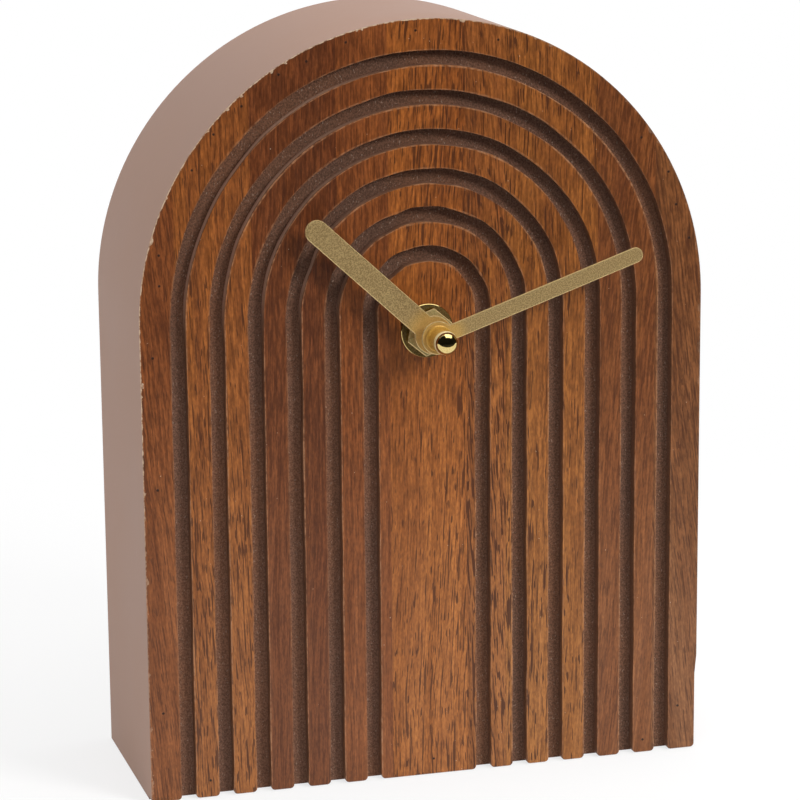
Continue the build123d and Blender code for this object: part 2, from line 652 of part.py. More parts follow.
def negative_contact():
    x_left = INNER_RIGHT - CONTACT_THICKNESS
    board_right = board_corner()[0] + BOARD_LENGTH
    strip = panel(x_left, INNER_RIGHT, BATTERY_Z, INNER_TOP)
    strip += panel(board_right - CONTACT_WIDTH, INNER_RIGHT, INNER_TOP - CONTACT_THICKNESS, INNER_TOP)
    half = CONTACT_PLATE_HEIGHT / 2
    leaf = make_face(
        Polyline(
            (x_left, BATTERY_Z - half),
            (x_left - SPRING_LEAF_RISE, BATTERY_Z),
            (x_left, BATTERY_Z + half),
            (x_left, BATTERY_Z + half - 2 * CONTACT_THICKNESS),
            (x_left - SPRING_LEAF_RISE + CONTACT_THICKNESS, BATTERY_Z),
            (x_left, BATTERY_Z - half + 2 * CONTACT_THICKNESS),
            close=True,
        )
    )
    contact = contact_plate(x_left) + slab(strip, STRIP_Y, STRIP_Y + CONTACT_WIDTH)
    return contact + slab(leaf, BATTERY_Y - CONTACT_WIDTH / 2, BATTERY_Y + CONTACT_WIDTH / 2)


def battery():
    nub_left = INNER_LEFT + CONTACT_THICKNESS
    can_left = nub_left + BATTERY_NUB_LENGTH
    can_length = BATTERY_LENGTH - BATTERY_NUB_LENGTH
    can = Pos(can_left, BATTERY_Y, BATTERY_Z) * extrude(Plane.YZ * Circle(BATTERY_DIAMETER / 2), can_length)
    nub = extrude(Plane.YZ * Circle(BATTERY_NUB_RADIUS), BATTERY_NUB_LENGTH)
    return can + Pos(nub_left, BATTERY_Y, BATTERY_Z) * nub


# Movement housing

def housing_outline():
    outline = panel(HOUSING_LEFT, HOUSING_RIGHT, HOUSING_BOTTOM, HOUSING_TOP)
    return chamfer(outline.vertices(), HOUSING_CORNER)


def movement_housing():
    floor_y = HOUSING_Y + HOUSING_FRONT_WALL
    housing = slab(housing_outline(), HOUSING_Y, COVER_Y)
    housing -= slab(panel(INNER_LEFT, INNER_RIGHT, TRAIN_FLOOR, INNER_TOP), floor_y, COVER_Y)
    housing -= slab(panel(INNER_LEFT, INNER_RIGHT, BAY_BOTTOM, BAY_TOP), floor_y, COVER_Y)
    thumb = Pos(0, COVER_Y - THUMB_NOTCH_DEPTH / 2, HOUSING_BOTTOM)
    housing -= thumb * Box(2 * THUMB_NOTCH_RADIUS, THUMB_NOTCH_DEPTH, 2 * HOUSING_SIDE_WALL)
    slot_back = STRIP_Y + CONTACT_WIDTH + COVER_LIP_GAP
    for x_left in (INNER_LEFT, INNER_RIGHT - CONTACT_THICKNESS):
        slot = panel(x_left, x_left + CONTACT_THICKNESS, BAY_TOP, TRAIN_FLOOR)
        housing -= slab(slot, STRIP_Y, slot_back)
    for x in (INNER_LEFT + PILLAR_HALF, INNER_RIGHT - PILLAR_HALF):
        for z in (TRAIN_FLOOR + PILLAR_HALF, INNER_TOP - PILLAR_HALF):
            housing += post((x, z), PILLAR_HALF, floor_y, PLATE_Y)
    housing += pin(MINUTE, POST_RADIUS, floor_y, PLATE_Y)
    housing += post(KNOB, BOSS_HALF, floor_y, MINUTE_WHEEL_Y - LOOSE_GAP)
    housing -= pin_hole(KNOB, POST_RADIUS + PIVOT_GAP, floor_y, MINUTE_WHEEL_Y)
    housing -= rod(CENTRE, STEM_RADIUS, HOUSING_Y, floor_y)
    return housing - post(CENTRE, STEM_FLANGE_HALF, floor_y - STEM_FLANGE_THICKNESS, floor_y)


def middle_plate():
    gap = COVER_LIP_GAP
    outline = panel(INNER_LEFT + gap, INNER_RIGHT - gap, TRAIN_FLOOR + gap, INNER_TOP - gap)
    plate = slab(outline, PLATE_Y, PLATE_BACK_Y)
    for pillar in (LEFT_PILLAR, RIGHT_PILLAR):
        plate += post(pillar, PILLAR_HALF, PLATE_BACK_Y, STATOR_Y)
    for place in (THIRD, INTERMEDIATE, ROTOR):
        plate -= pin_hole(place, ARBOR_RADIUS + PIVOT_GAP, PLATE_Y, PLATE_BACK_Y)
    plate -= pin_hole(CENTRE, CLUTCH_RADIUS + RUNNING_GAP, PLATE_Y, PLATE_BACK_Y)
    return plate - pin_hole(KNOB, KNOB_ARBOR_RADIUS + RUNNING_GAP, PLATE_Y, PLATE_BACK_Y)


def rear_cover():
    """Lid over the train, with a locating lip inside the walls and a boss for each arbor."""
    below = panel(HOUSING_LEFT, HOUSING_RIGHT, HOUSING_BOTTOM, BAY_TOP)
    cover = slab(housing_outline() - below, COVER_Y, COVER_BACK_Y)
    gap = COVER_LIP_GAP
    lip = panel(INNER_LEFT + gap, INNER_RIGHT - gap, TRAIN_FLOOR + gap, INNER_TOP - gap)
    inset = gap + COVER_LIP_WIDTH
    lip -= panel(INNER_LEFT + inset, INNER_RIGHT - inset, TRAIN_FLOOR + inset, INNER_TOP - inset)
    cover += slab(lip, COVER_Y - COVER_LIP_DEPTH, COVER_Y)
    for place in (CENTRE, THIRD, INTERMEDIATE, ROTOR):
        cover += post(place, BOSS_HALF, BOSS_Y, COVER_Y)
        cover -= pin_hole(place, ARBOR_RADIUS + PIVOT_GAP, BOSS_Y, BOSS_Y + PIVOT_DEPTH + LOOSE_GAP)
    return cover - pin_hole(KNOB, KNOB_NECK_RADIUS + RUNNING_GAP, COVER_Y, COVER_BACK_Y)


PIECES = {
    "case_body": case_body,
    "face_border": face_border,
    "face_tongue": face_tongue,
    "rubber_washer": rubber_washer,
    "front_washer": front_washer,
    "fixing_nut": fixing_nut,
    "threaded_stem": threaded_stem,
    "movement_housing": movement_housing,
    "middle_plate": middle_plate,
    "rear_cover": rear_cover,
    "stator": stator,
    "coil_core": coil_core,
    "coil_bobbin": coil_bobbin,
    "coil_winding": coil_winding,
    "rotor_magnet": rotor_magnet,
    "rotor_pinion": rotor_pinion,
    "intermediate_wheel": intermediate_wheel,
    "second_wheel": second_wheel,
    "third_wheel": third_wheel,
    "centre_wheel": centre_wheel,
    "minute_arbor": minute_arbor,
    "minute_wheel": minute_wheel,
    "hour_wheel": hour_wheel,
    "setting_knob": setting_knob,
    "circuit_board": circuit_board,
    "chip": chip,
    "crystal": crystal,
    "positive_contact": positive_contact,
    "negative_contact": negative_contact,
    "battery": battery,
    "hour_hand": hour_hand,
    "minute_hand": minute_hand,
    "ball_nut": ball_nut,
}

os.makedirs("parts", exist_ok=True)
for name, make in PIECES.items():
    export_step(make(), f"parts/{name}.step")
for slat_number in range(1, GROOVE_COUNT):
    export_step(face_slat(slat_number), f"parts/face_slat_{slat_number}.step")
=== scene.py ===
import math

import bmesh
import bpy
from mathutils import Matrix, Vector, noise


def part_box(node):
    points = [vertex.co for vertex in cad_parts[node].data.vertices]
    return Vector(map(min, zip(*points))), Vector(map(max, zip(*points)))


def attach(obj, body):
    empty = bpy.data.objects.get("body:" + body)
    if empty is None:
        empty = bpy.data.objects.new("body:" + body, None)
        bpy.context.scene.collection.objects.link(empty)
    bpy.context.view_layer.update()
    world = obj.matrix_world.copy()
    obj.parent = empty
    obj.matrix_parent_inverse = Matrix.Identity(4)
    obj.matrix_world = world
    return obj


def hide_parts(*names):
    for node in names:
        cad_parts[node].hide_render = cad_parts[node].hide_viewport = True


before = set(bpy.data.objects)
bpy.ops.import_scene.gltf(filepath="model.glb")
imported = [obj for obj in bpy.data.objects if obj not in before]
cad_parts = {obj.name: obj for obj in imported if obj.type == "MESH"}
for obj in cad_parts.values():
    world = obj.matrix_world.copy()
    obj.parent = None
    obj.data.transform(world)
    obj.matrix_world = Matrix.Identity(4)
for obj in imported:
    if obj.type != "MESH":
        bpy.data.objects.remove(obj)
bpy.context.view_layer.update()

# Wooden desk clock. Lengths are metres in the part's own frame: the face looks along -Y, +Z is up.
MM = 0.001
SAME_PLACE = 0.01 * MM
SEAM_GAP = 0.0001 * MM
CAD_SEAM_GAP = 0.002 * MM
CENTRE = Vector((0, 0, 120 * MM))
SPRING_LINE = 125 * MM
ARCH_RADIUS = 75 * MM
ARCH_STEPS = 96
LEG_STEPS = 24

# Depths from the back of the block to the ball in front of the hands
BACK_Y = 27.5 * MM
POCKET_FLOOR_Y = -17.5 * MM
BOARD_Y = -24.5 * MM
FACE_Y = -27.5 * MM
WASHER_Y = -28.3 * MM
NUT_Y = -30.7 * MM
HOUR_HAND_Y = -34.1 * MM
MINUTE_HAND_Y = -38.0 * MM
BALL_Y = -44.5 * MM

# Strips of the face
BORDER_INNER = 67 * MM
GROOVE_WIDTH = 4 * MM
SLAT_WIDTH = 6 * MM
SLAT_COUNT = 5
GROOVE_PITCH = GROOVE_WIDTH + SLAT_WIDTH
TONGUE_RADIUS = 13 * MM
TONGUE_HOLE_STEPS = 32
TONGUE_CAP_SIDES = 40
RIM_BAND = 0.1 * MM
EASED_EDGE = 0.3 * MM
EASED_FOOT = 0.7 * MM
FOOT_CORNER = 0.9 * MM
KNOCK_HEIGHT = 22 * MM
KNOCK_DEPTH = 0.5 * MM

# Wander of the router: its reach, the length of one straight run and how one groove differs from the next
ROUTER_WANDER = 0.55 * MM
LEG_WANDER_SHARE = 0.45
WANDER_RUN = 8 * MM
WANDER_RADIUS = 55 * MM
RUN_STRIDE = 0.73
GROOVE_STRIDE = 1.37
WANDER_LAYER = 0.4

# Block
STEM_HOLE_RADIUS = 4.45 * MM
STEM_HOLE_STEPS = 48
POCKET_GAP = 4 * MM
POCKET_CORNER = 5 * MM
POCKET_CORNER_STEPS = 8
EASED_BACK = 0.7 * MM
WALL_BAND = 0.2 * MM
PAINT_OVERLAP = 0.3 * MM

# Stem, washer, nut, hands and ball
THREAD_RADIUS = 4.05 * MM
LATHE_STEPS = 72
BORE_STEPS = 36
WASHER_RADIUS = 7 * MM
EASED_WASHER = 0.12 * MM
NUT_ACROSS_FLATS = 11 * MM
NUT_TURN = math.radians(10)
EASED_NUT = 0.22 * MM
HAND_THICKNESS = 0.6 * MM
HAND_TIP_STEPS = 16
HAND_BOSS_STEPS = 48
EASED_HAND = 0.17 * MM
BALL_RADIUS = 3.05 * MM
BALL_STEPS = 32

# Turns between neighbouring faces in radians, and how much larger a flat is than its eased edge
CREASE_TURN = 0.6
SHARP_TURN = 0.8
LEVEL_TURN = 0.08
CAD_FLAT_TURN = 0.02
FLAT_TO_EASED = 5

# How squarely a face looks: outwards from the arch, or straight along the axis of the hands
OUTWARD = 0.9
FACE_ON = 0.95
SIDEWAYS = 0.2


# Meshes

def away_from_arch(place):
    """The outward direction at a place on the face: level beside the legs, round the arch above them."""
    out = Vector((place.x, 0, max(place.z - SPRING_LINE, 0)))
    return out.normalized()


def shade(bm):
    """Smooth faces, with a crease at sharp edges and where a flat meets its narrow eased edge."""
    for face in bm.faces:
        face.smooth = True
    for edge in bm.edges:
        edge.smooth = False
        if edge.is_manifold:
            turn = edge.calc_face_angle()
            areas = sorted(f.calc_area() for f in edge.link_faces)
            blends = turn < LEVEL_TURN or areas[1] < FLAT_TO_EASED * areas[0]
            edge.smooth = turn < CREASE_TURN and blends


def ease(bm, edges, width, segments=2):
    bmesh.ops.bevel(bm, geom=edges, offset=width, offset_type="OFFSET", segments=segments, profile=0.5,
                    affect="EDGES", material=-1, clamp_overlap=True)


def sharp_edges(bm):
    return [e for e in bm.edges if e.is_manifold and e.calc_face_angle() > SHARP_TURN]


def settle(name, bm, body, finishes, stands_for):
    """Turns a finished bmesh into a piece that rides on a body in place of its CAD nodes."""
    bmesh.ops.recalc_face_normals(bm, faces=bm.faces)
    shade(bm)
    mesh = bpy.data.meshes.new(name)
    bm.to_mesh(mesh)
    bm.free()
    for finish in finishes:
        mesh.materials.append(finish)
    piece = bpy.data.objects.new(name, mesh)
    bpy.context.scene.collection.objects.link(piece)
    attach(piece, body)
    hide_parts(*stands_for)


def edges_of(made):
    return [g for g in made["geom"] if isinstance(g, bmesh.types.BMEdge)]


def verts_of(made):
    return [g for g in made["geom"] if isinstance(g, bmesh.types.BMVert)]


def carry(bm, edges, shift, steps=1):
    """Draws a row of edges along a straight line, and returns the last row."""
    for _ in range(steps):
        made = bmesh.ops.extrude_edge_only(bm, edges=edges)
        bmesh.ops.translate(bm, verts=verts_of(made), vec=Vector(shift) / steps)
        moved = set(verts_of(made))
        edges = [e for e in edges_of(made) if e.verts[0] in moved and e.verts[1] in moved]
    return edges


def ring(bm, centre, radius, segments):
    """A circle of edges about an axis along Y."""
    place = Matrix.Translation(centre) @ Matrix.Rotation(math.pi / 2, 4, "X")
    made = bmesh.ops.create_circle(bm, cap_ends=False, segments=segments, radius=radius, matrix=place)
    return list({e for v in made["verts"] for e in v.link_edges})


def fill(bm, edges):
    bmesh.ops.triangle_fill(bm, edges=edges, use_beauty=True, use_dissolve=True)


def turned(profile, centre, steps=LATHE_STEPS):
    """A lathe: spins (radius, y) points once about an axis along Y."""
    bm = bmesh.new()
    verts = [bm.verts.new((centre.x + r, y, centre.z)) for r, y in profile]
    edges = [bm.edges.new(pair) for pair in zip(verts, verts[1:])]
    bmesh.ops.spin(bm, geom=verts + edges, cent=centre, axis=(0, 1, 0), angle=2 * math.pi, steps=steps,
                   use_merge=True)
    bmesh.ops.remove_doubles(bm, verts=bm.verts, dist=SEAM_GAP)
    return bm


def arch_outline(bm, radius, y, leg_steps=1):
    """A line of edges up one leg, round the arch and down the other."""
    foot = bm.verts.new((-radius, y, 0))
    for step in range(leg_steps):
        head = bm.verts.new((-radius, y, SPRING_LINE * (step + 1) / leg_steps))
        bm.edges.new((foot, head))
        foot = head
    made = bmesh.ops.spin(bm, geom=[foot], cent=(0, y, SPRING_LINE), axis=(0, 1, 0), angle=math.pi,
                          steps=ARCH_STEPS)
    head = made["geom_last"][0]
    for step in range(leg_steps):
        foot = bm.verts.new((radius, y, SPRING_LINE * (1 - (step + 1) / leg_steps)))
        bm.edges.new((head, foot))
        head = foot
    return bm.edges[:]


def waver(bm, reach, keep_radius=None):
    """The small wander of a hand-guided router: short straight runs, larger on the arch than on the legs."""
    for vert in bm.verts:
        out = away_from_arch(vert.co)
        height = vert.co.z - SPRING_LINE
        radius = math.hypot(vert.co.x, max(height, 0))
        if keep_radius is not None and abs(radius - keep_radius) < RIM_BAND:
            continue
        around = math.copysign(math.pi / 2, vert.co.x)
        if height > 0:
            around = math.atan2(vert.co.x, height)
        run = (around * WANDER_RADIUS + math.copysign(min(height, 0), -vert.co.x)) / WANDER_RUN
        first, part = divmod(run, 1)
        lane = round(radius / MM) * GROOVE_STRIDE
        bends = [noise.noise(Vector((step * RUN_STRIDE, lane, WANDER_LAYER))) for step in (first, first + 1)]
        drift = bends[0] + (bends[1] - bends[0]) * part
        vert.co += out * (drift * reach * (1 if height > 0 else LEG_WANDER_SHARE))


def arch_strip(outer, inner, keep_outer):
    """One strip of the hardwood face: a bar up one leg, round the arch and down the other."""
    bm = bmesh.new()
    corners = [(outer, BOARD_Y), (outer, FACE_Y), (inner, FACE_Y), (inner, BOARD_Y)]
    verts = [bm.verts.new((-r, y, 0)) for r, y in corners]
    row = [bm.edges.new((verts[i], verts[i - 1])) for i in range(len(verts))]
    row = carry(bm, row, (0, 0, SPRING_LINE), LEG_STEPS)
    made = bmesh.ops.spin(bm, geom=row, cent=(0, 0, SPRING_LINE), axis=(0, 1, 0), angle=math.pi,
                          steps=ARCH_STEPS)
    row = [g for g in made["geom_last"] if isinstance(g, bmesh.types.BMEdge)]
    carry(bm, row, (0, 0, -SPRING_LINE), LEG_STEPS)
    bmesh.ops.holes_fill(bm, edges=bm.edges, sides=0)
    bmesh.ops.recalc_face_normals(bm, faces=bm.faces)
    waver(bm, ROUTER_WANDER, outer if keep_outer else None)
    if keep_outer:
        knock(bm)
    soften_front(bm)
    return bm


def soften_front(bm):
    """Rounds the corners of a face strip's feet and its front edges, more at the feet."""
    low = [e for e in sharp_edges(bm) if max(v.co.z for v in e.verts) < SAME_PLACE]
    ease(bm, [e for e in low if abs(e.verts[0].co.y - e.verts[1].co.y) > MM], FOOT_CORNER, segments=3)
    front = [e for e in sharp_edges(bm) if max(v.co.y for v in e.verts) < FACE_Y + SAME_PLACE]
    feet = [e for e in front if max(v.co.z for v in e.verts) < FOOT_CORNER - SAME_PLACE]
    ease(bm, feet, EASED_FOOT, segments=3)
    front = [e for e in sharp_edges(bm) if max(v.co.y for v in e.verts) < FACE_Y + EASED_FOOT + SAME_PLACE]
    ease(bm, front, EASED_EDGE)


def knock(bm):
    """A shallow knock in the lower right front edge of the border."""
    for vert in bm.verts:
        on_edge = vert.co.x > ARCH_RADIUS - RIM_BAND and vert.co.y < FACE_Y + RIM_BAND
        if on_edge and vert.co.z < KNOCK_HEIGHT:
            vert.co.x -= KNOCK_DEPTH


def tongue():
    """The middle of the face, with a rounded head and a hole for the stem."""
    bm = bmesh.new()
    outline = arch_outline(bm, TONGUE_RADIUS, FACE_Y, LEG_STEPS)
    ends = [v for v in bm.verts if len(v.link_edges) == 1]
    outline.append(bm.edges.new(ends))
    waver(bm, ROUTER_WANDER)
    face = bmesh.ops.contextual_create(bm, geom=outline)["faces"]
    rear = bmesh.ops.extrude_face_region(bm, geom=face)
    bmesh.ops.translate(bm, verts=verts_of(rear), vec=(0, BOARD_Y - FACE_Y, 0))
    bmesh.ops.recalc_face_normals(bm, faces=bm.faces)
    soften_front(bm)
    loops = []
    for y in (FACE_Y, BOARD_Y):
        caps = [f for f in bm.faces if len(f.verts) > TONGUE_CAP_SIDES]
        cap = [f for f in caps if abs(f.calc_center_median().y - y) < SAME_PLACE]
        edge_line = cap[0].edges[:]
        bmesh.ops.delete(bm, geom=cap, context="FACES_ONLY")
        hole = ring(bm, (0, y, CENTRE.z), STEM_HOLE_RADIUS, TONGUE_HOLE_STEPS)
        fill(bm, edge_line + hole)
        loops += hole
    bmesh.ops.bridge_loops(bm, edges=loops)
    return bm


def case_block():
    """The painted block behind the face, with the stem hole and the pocket for the movement."""
    bm = bmesh.new()
    front = arch_outline(bm, ARCH_RADIUS, BOARD_Y)
    ends = [v for v in bm.verts if len(v.link_edges) == 1]
    front.append(bm.edges.new(ends))
    back = carry(bm, front, (0, BACK_Y - BOARD_Y, 0))
    low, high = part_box("movement_housing")
    left, right = low.x - POCKET_GAP, high.x + POCKET_GAP
    bottom, top = low.z - POCKET_GAP, high.z + POCKET_GAP
    corners = [(left, bottom), (right, bottom), (right, top), (left, top)]
    verts = [bm.verts.new((x, BACK_Y, z)) for x, z in corners]
    bm.faces.new(verts)
    rounded = bmesh.ops.bevel(bm, geom=verts, offset=POCKET_CORNER, offset_type="OFFSET",
                              segments=POCKET_CORNER_STEPS, profile=0.5, affect="VERTICES", material=-1)
    mouth = list({e for v in rounded["verts"] for e in v.link_edges})
    sheets = list({f for e in mouth for f in e.link_faces})
    bmesh.ops.delete(bm, geom=sheets, context="FACES_ONLY")
    fill(bm, back + mouth)
    floor = carry(bm, mouth, (0, POCKET_FLOOR_Y - BACK_Y, 0))
    holes = []
    for y, border in ((BOARD_Y, front), (POCKET_FLOOR_Y, floor)):
        hole = ring(bm, (0, y, CENTRE.z), STEM_HOLE_RADIUS, STEM_HOLE_STEPS)
        fill(bm, border + hole)
        holes += hole
    bmesh.ops.bridge_loops(bm, edges=holes)
    bmesh.ops.recalc_face_normals(bm, faces=bm.faces)
    rear = [e for e in sharp_edges(bm) if min(v.co.y for v in e.verts) > BACK_Y - SAME_PLACE]
    ease(bm, rear, EASED_BACK, segments=3)
    for face in bm.faces:
        place = face.calc_center_median()
        inside = abs(place.x) < right + WALL_BAND and bottom - WALL_BAND < place.z < top + WALL_BAND
        if place.y < BOARD_Y + SAME_PLACE:
            face.material_index = 1
        elif inside and place.y < BACK_Y - PAINT_OVERLAP:
            face.material_index = 2
    return bm


def nut_faces(bm):
    """Gives the nut's second material to its eased edges and the third to its flats and bore."""
    bm.normal_update()
    for face in bm.faces:
        lean = abs(face.normal.y)
        face.material_index = int(lean < FACE_ON) + int(lean < SIDEWAYS)


def bright_rim(bm):
    """Gives the second material to the faces that don't look straight out or back."""
    bm.normal_update()
    for face in bm.faces:
        face.material_index = int(abs(face.normal.y) < FACE_ON)


def hand_plate(length, width, boss_radius, bore_radius, front, angle):
    """A flat bar with a round tip and a round boss, turned clockwise from twelve o'clock."""
    bm = bmesh.new()
    half = width / 2
    tip = length - half
    shoulder = math.asin(half / boss_radius)
    start = bm.verts.new((half, front, tip))
    made = bmesh.ops.spin(bm, geom=[start], cent=(0, front, tip), axis=(0, 1, 0), angle=-math.pi,
                          steps=HAND_TIP_STEPS)
    neck = bm.verts.new((-half, front, boss_radius * math.cos(shoulder)))
    bm.edges.new((made["geom_last"][0], neck))
    made = bmesh.ops.spin(bm, geom=[neck], cent=(0, front, 0), axis=(0, 1, 0),
                          angle=-2 * (math.pi - shoulder), steps=HAND_BOSS_STEPS)
    bm.edges.new((made["geom_last"][0], start))
    outline = bm.edges[:]
    fill(bm, outline + ring(bm, (0, front, 0), bore_radius, BORE_STEPS))
    made = bmesh.ops.extrude_face_region(bm, geom=bm.faces[:])
    bmesh.ops.translate(bm, verts=verts_of(made), vec=(0, HAND_THICKNESS, 0))
    bmesh.ops.recalc_face_normals(bm, faces=bm.faces)
    ease(bm, [e for e in sharp_edges(bm) if max(v.co.y for v in e.verts) < front + SAME_PLACE], EASED_HAND)
    bright_rim(bm)
    place = Matrix.Translation(CENTRE) @ Matrix.Rotation(math.radians(angle), 4, "Y")
    bmesh.ops.transform(bm, matrix=place, verts=bm.verts)
    return bm


def eased_copy(node, width):
    """A copy of a CAD node with its triangles merged and its sharp edges eased."""
    bm = bmesh.new()
    bm.from_mesh(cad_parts[node].data)
    bmesh.ops.remove_doubles(bm, verts=bm.verts, dist=CAD_SEAM_GAP)
    bmesh.ops.dissolve_limit(bm, angle_limit=CAD_FLAT_TURN, verts=bm.verts, edges=bm.edges)
    ease(bm, sharp_edges(bm), width)
    return bm


# Finishes

def tone(red, green, blue):
    """A colour read as screen values of 0 to 255."""
    shares = [value / 255 for value in (red, green, blue)]
    return (*(s / 12.92 if s < 0.0404 else ((s + 0.055) / 1.055) ** 2.4 for s in shares), 1)


def grey(value):
    return (value, value, value, 1)


GRAIN_ROUGHNESS = 0.55
GRAIN_LACUNARITY = 2.0


class Finish:
    """A material on Object coordinates, with short ways to add its nodes."""

    def __init__(self, name, **sockets):
        self.material = bpy.data.materials.new(name)
        self.material.use_nodes = True
        self.nodes = self.material.node_tree.nodes
        self.shader = self.nodes["Principled BSDF"]
        self.place = self.nodes.new("ShaderNodeTexCoord").outputs["Object"]
        for socket, value in sockets.items():
            self.shader.inputs[socket.replace("_", " ")].default_value = value

    def feed(self, socket, value):
        if isinstance(value, bpy.types.NodeSocket):
            self.material.node_tree.links.new(value, socket)
        else:
            socket.default_value = value

    def add(self, kind, *values, **options):
        node = self.nodes.new("ShaderNode" + kind)
        for option, value in options.items():
            setattr(node, option, value)
        for socket, value in zip(node.inputs, values):
            if value is not None:
                self.feed(socket, value)
        return node.outputs[0]

    def sums(self, way, first, second=None):
        return self.add("Math", first, second, operation=way)

    def length(self, vector):
        self.add("VectorMath", vector, operation="LENGTH")
        return self.nodes[-1].outputs["Value"]

    def distance(self, vector, point):
        self.add("VectorMath", vector, point, operation="DISTANCE")
        return self.nodes[-1].outputs["Value"]

    def axes(self):
        node = self.nodes.new("ShaderNodeSeparateXYZ")
        self.feed(node.inputs[0], self.place)
        return node.outputs

    def grain(self, scale, detail=2.0, shift=0.0, wander=0.0, place=None):
        """Noise with its own count of waves per metre along each axis."""
        mapped = self.add("Mapping", place or self.place, (shift, shift, shift), None, scale)
        return self.add("TexNoise", mapped, None, 1.0, detail, GRAIN_ROUGHNESS, GRAIN_LACUNARITY, None, None,
                        wander)

    def rise(self, value, low, high, first=0.0, last=1.0):
        """A smooth step from first to last as the value goes from low to high."""
        return self.add("MapRange", value, low, high, first, last, interpolation_type="SMOOTHSTEP")

    def mix(self, share, first, second, way="MIX"):
        """Mixes two colours, which are sockets 6 and 7 and output 2 of the node."""
        node = self.nodes.new("ShaderNodeMix")
        node.data_type = "RGBA"
        node.blend_type = way
        for number, value in ((0, share), (6, first), (7, second)):
            self.feed(node.inputs[number], value)
        return node.outputs[2]

    def vary(self, base, value, low, high, darker, lighter):
        """Multiplies a colour by a tint that goes from darker to lighter as the value rises."""
        return self.mix(1.0, base, self.mix(self.rise(value, low, high), darker, lighter), "MULTIPLY")

    def arch_radius(self, x, z):
        """Distance from the middle line of the legs, or from the centre of the arch above them."""
        up = self.sums("MAXIMUM", self.sums("SUBTRACT", z, SPRING_LINE), 0.0)
        return self.length(self.add("CombineXYZ", x, 0.0, up))

    def ramp(self, value, stops, way="LINEAR"):
        node = self.nodes.new("ShaderNodeValToRGB")
        node.color_ramp.interpolation = way
        while len(node.color_ramp.elements) < len(stops):
            node.color_ramp.elements.new(0.5)
        for element, (place, colour) in zip(node.color_ramp.elements, stops):
            element.position = place
            element.color = colour
        self.feed(node.inputs[0], value)
        return node.outputs[0]

    def bump(self, height, strength, depth):
        node = self.nodes.new("ShaderNodeBump")
        node.inputs["Strength"].default_value = strength
        node.inputs["Distance"].default_value = depth
        self.feed(node.inputs["Height"], height)
        self.feed(self.shader.inputs["Normal"], node.outputs[0])

    def colour(self, value):
        self.feed(self.shader.inputs["Base Color"], value)

    def gloss(self, value):
        self.feed(self.shader.inputs["Roughness"], value)


# Boards of the face as (right edge in millimetres, tone, slant of the grain, share of open pores)
BOARDS = [
    (-66, tone(126, 72, 38), 0.10, 0.6),
    (-46, tone(141, 84, 42), 0.04, 0.9),
    (-24, tone(109, 61, 34), -0.03, 0.5),
    (-10.5, tone(128, 73, 38), 0.0, 0.4),
    (10.5, tone(149, 88, 42), -0.04, 0.9),
    (21, tone(143, 87, 45), 0.05, 1.0),
    (46, tone(145, 90, 45), -0.02, 1.0),
    (62, tone(121, 72, 40), -0.09, 0.5),
    (75, tone(119, 75, 45), 0.12, 0.7),
]

# Sway of the grain, the painted highlight on groove edges from a strip's middle, groove walls below the face,
# wear of the rim
GRAIN_SWAY = 5 * MM
EDGE_HIGHLIGHT_START = 2.65 * MM
EDGE_HIGHLIGHT_FULL = 2.9 * MM
WALL_START = 0.35 * MM
WALL_FULL = 1.0 * MM
CHIP_REACH = 0.55 * MM
NICK_REACH = 0.6 * MM
PIN_CORE = 0.36 * MM
PIN_RIM = 0.58 * MM
PIN_RAGGEDNESS = 0.3 * MM

# Pin holes of the face as (x, z) in millimetres
PIN_HOLES = [
    (-54.9, 173.2), (-60.6, 164.5), (-47.6, 179.9), (-38.0, 187.4), (-30.8, 190.4), (-20.6, 194.7),
    (-2.4, 197.0), (19.4, 193.8), (58.1, 167.0), (65.6, 157.7), (67.8, 149.0), (71.5, 140.0), (-69.5, 143.5),
    (-69.6, 135.7), (-71.7, 117.4), (-71.3, 83.2), (-71.3, 23.9), (-59.3, 4.5), (69.7, 12.1), (59.8, 3.5),
    (1.1, 4.2),
]


def board_steps(f, x, shades):
    """Steps across the face from board to board, with one shade for each."""
    across = f.add("MapRange", x, -ARCH_RADIUS, ARCH_RADIUS, 0.0, 1.0)
    starts = [0.0] + [(board[0] * MM + ARCH_RADIUS) / (2 * ARCH_RADIUS) for board in BOARDS[:-1]]
    return f.ramp(across, list(zip(starts, shades)), "CONSTANT")


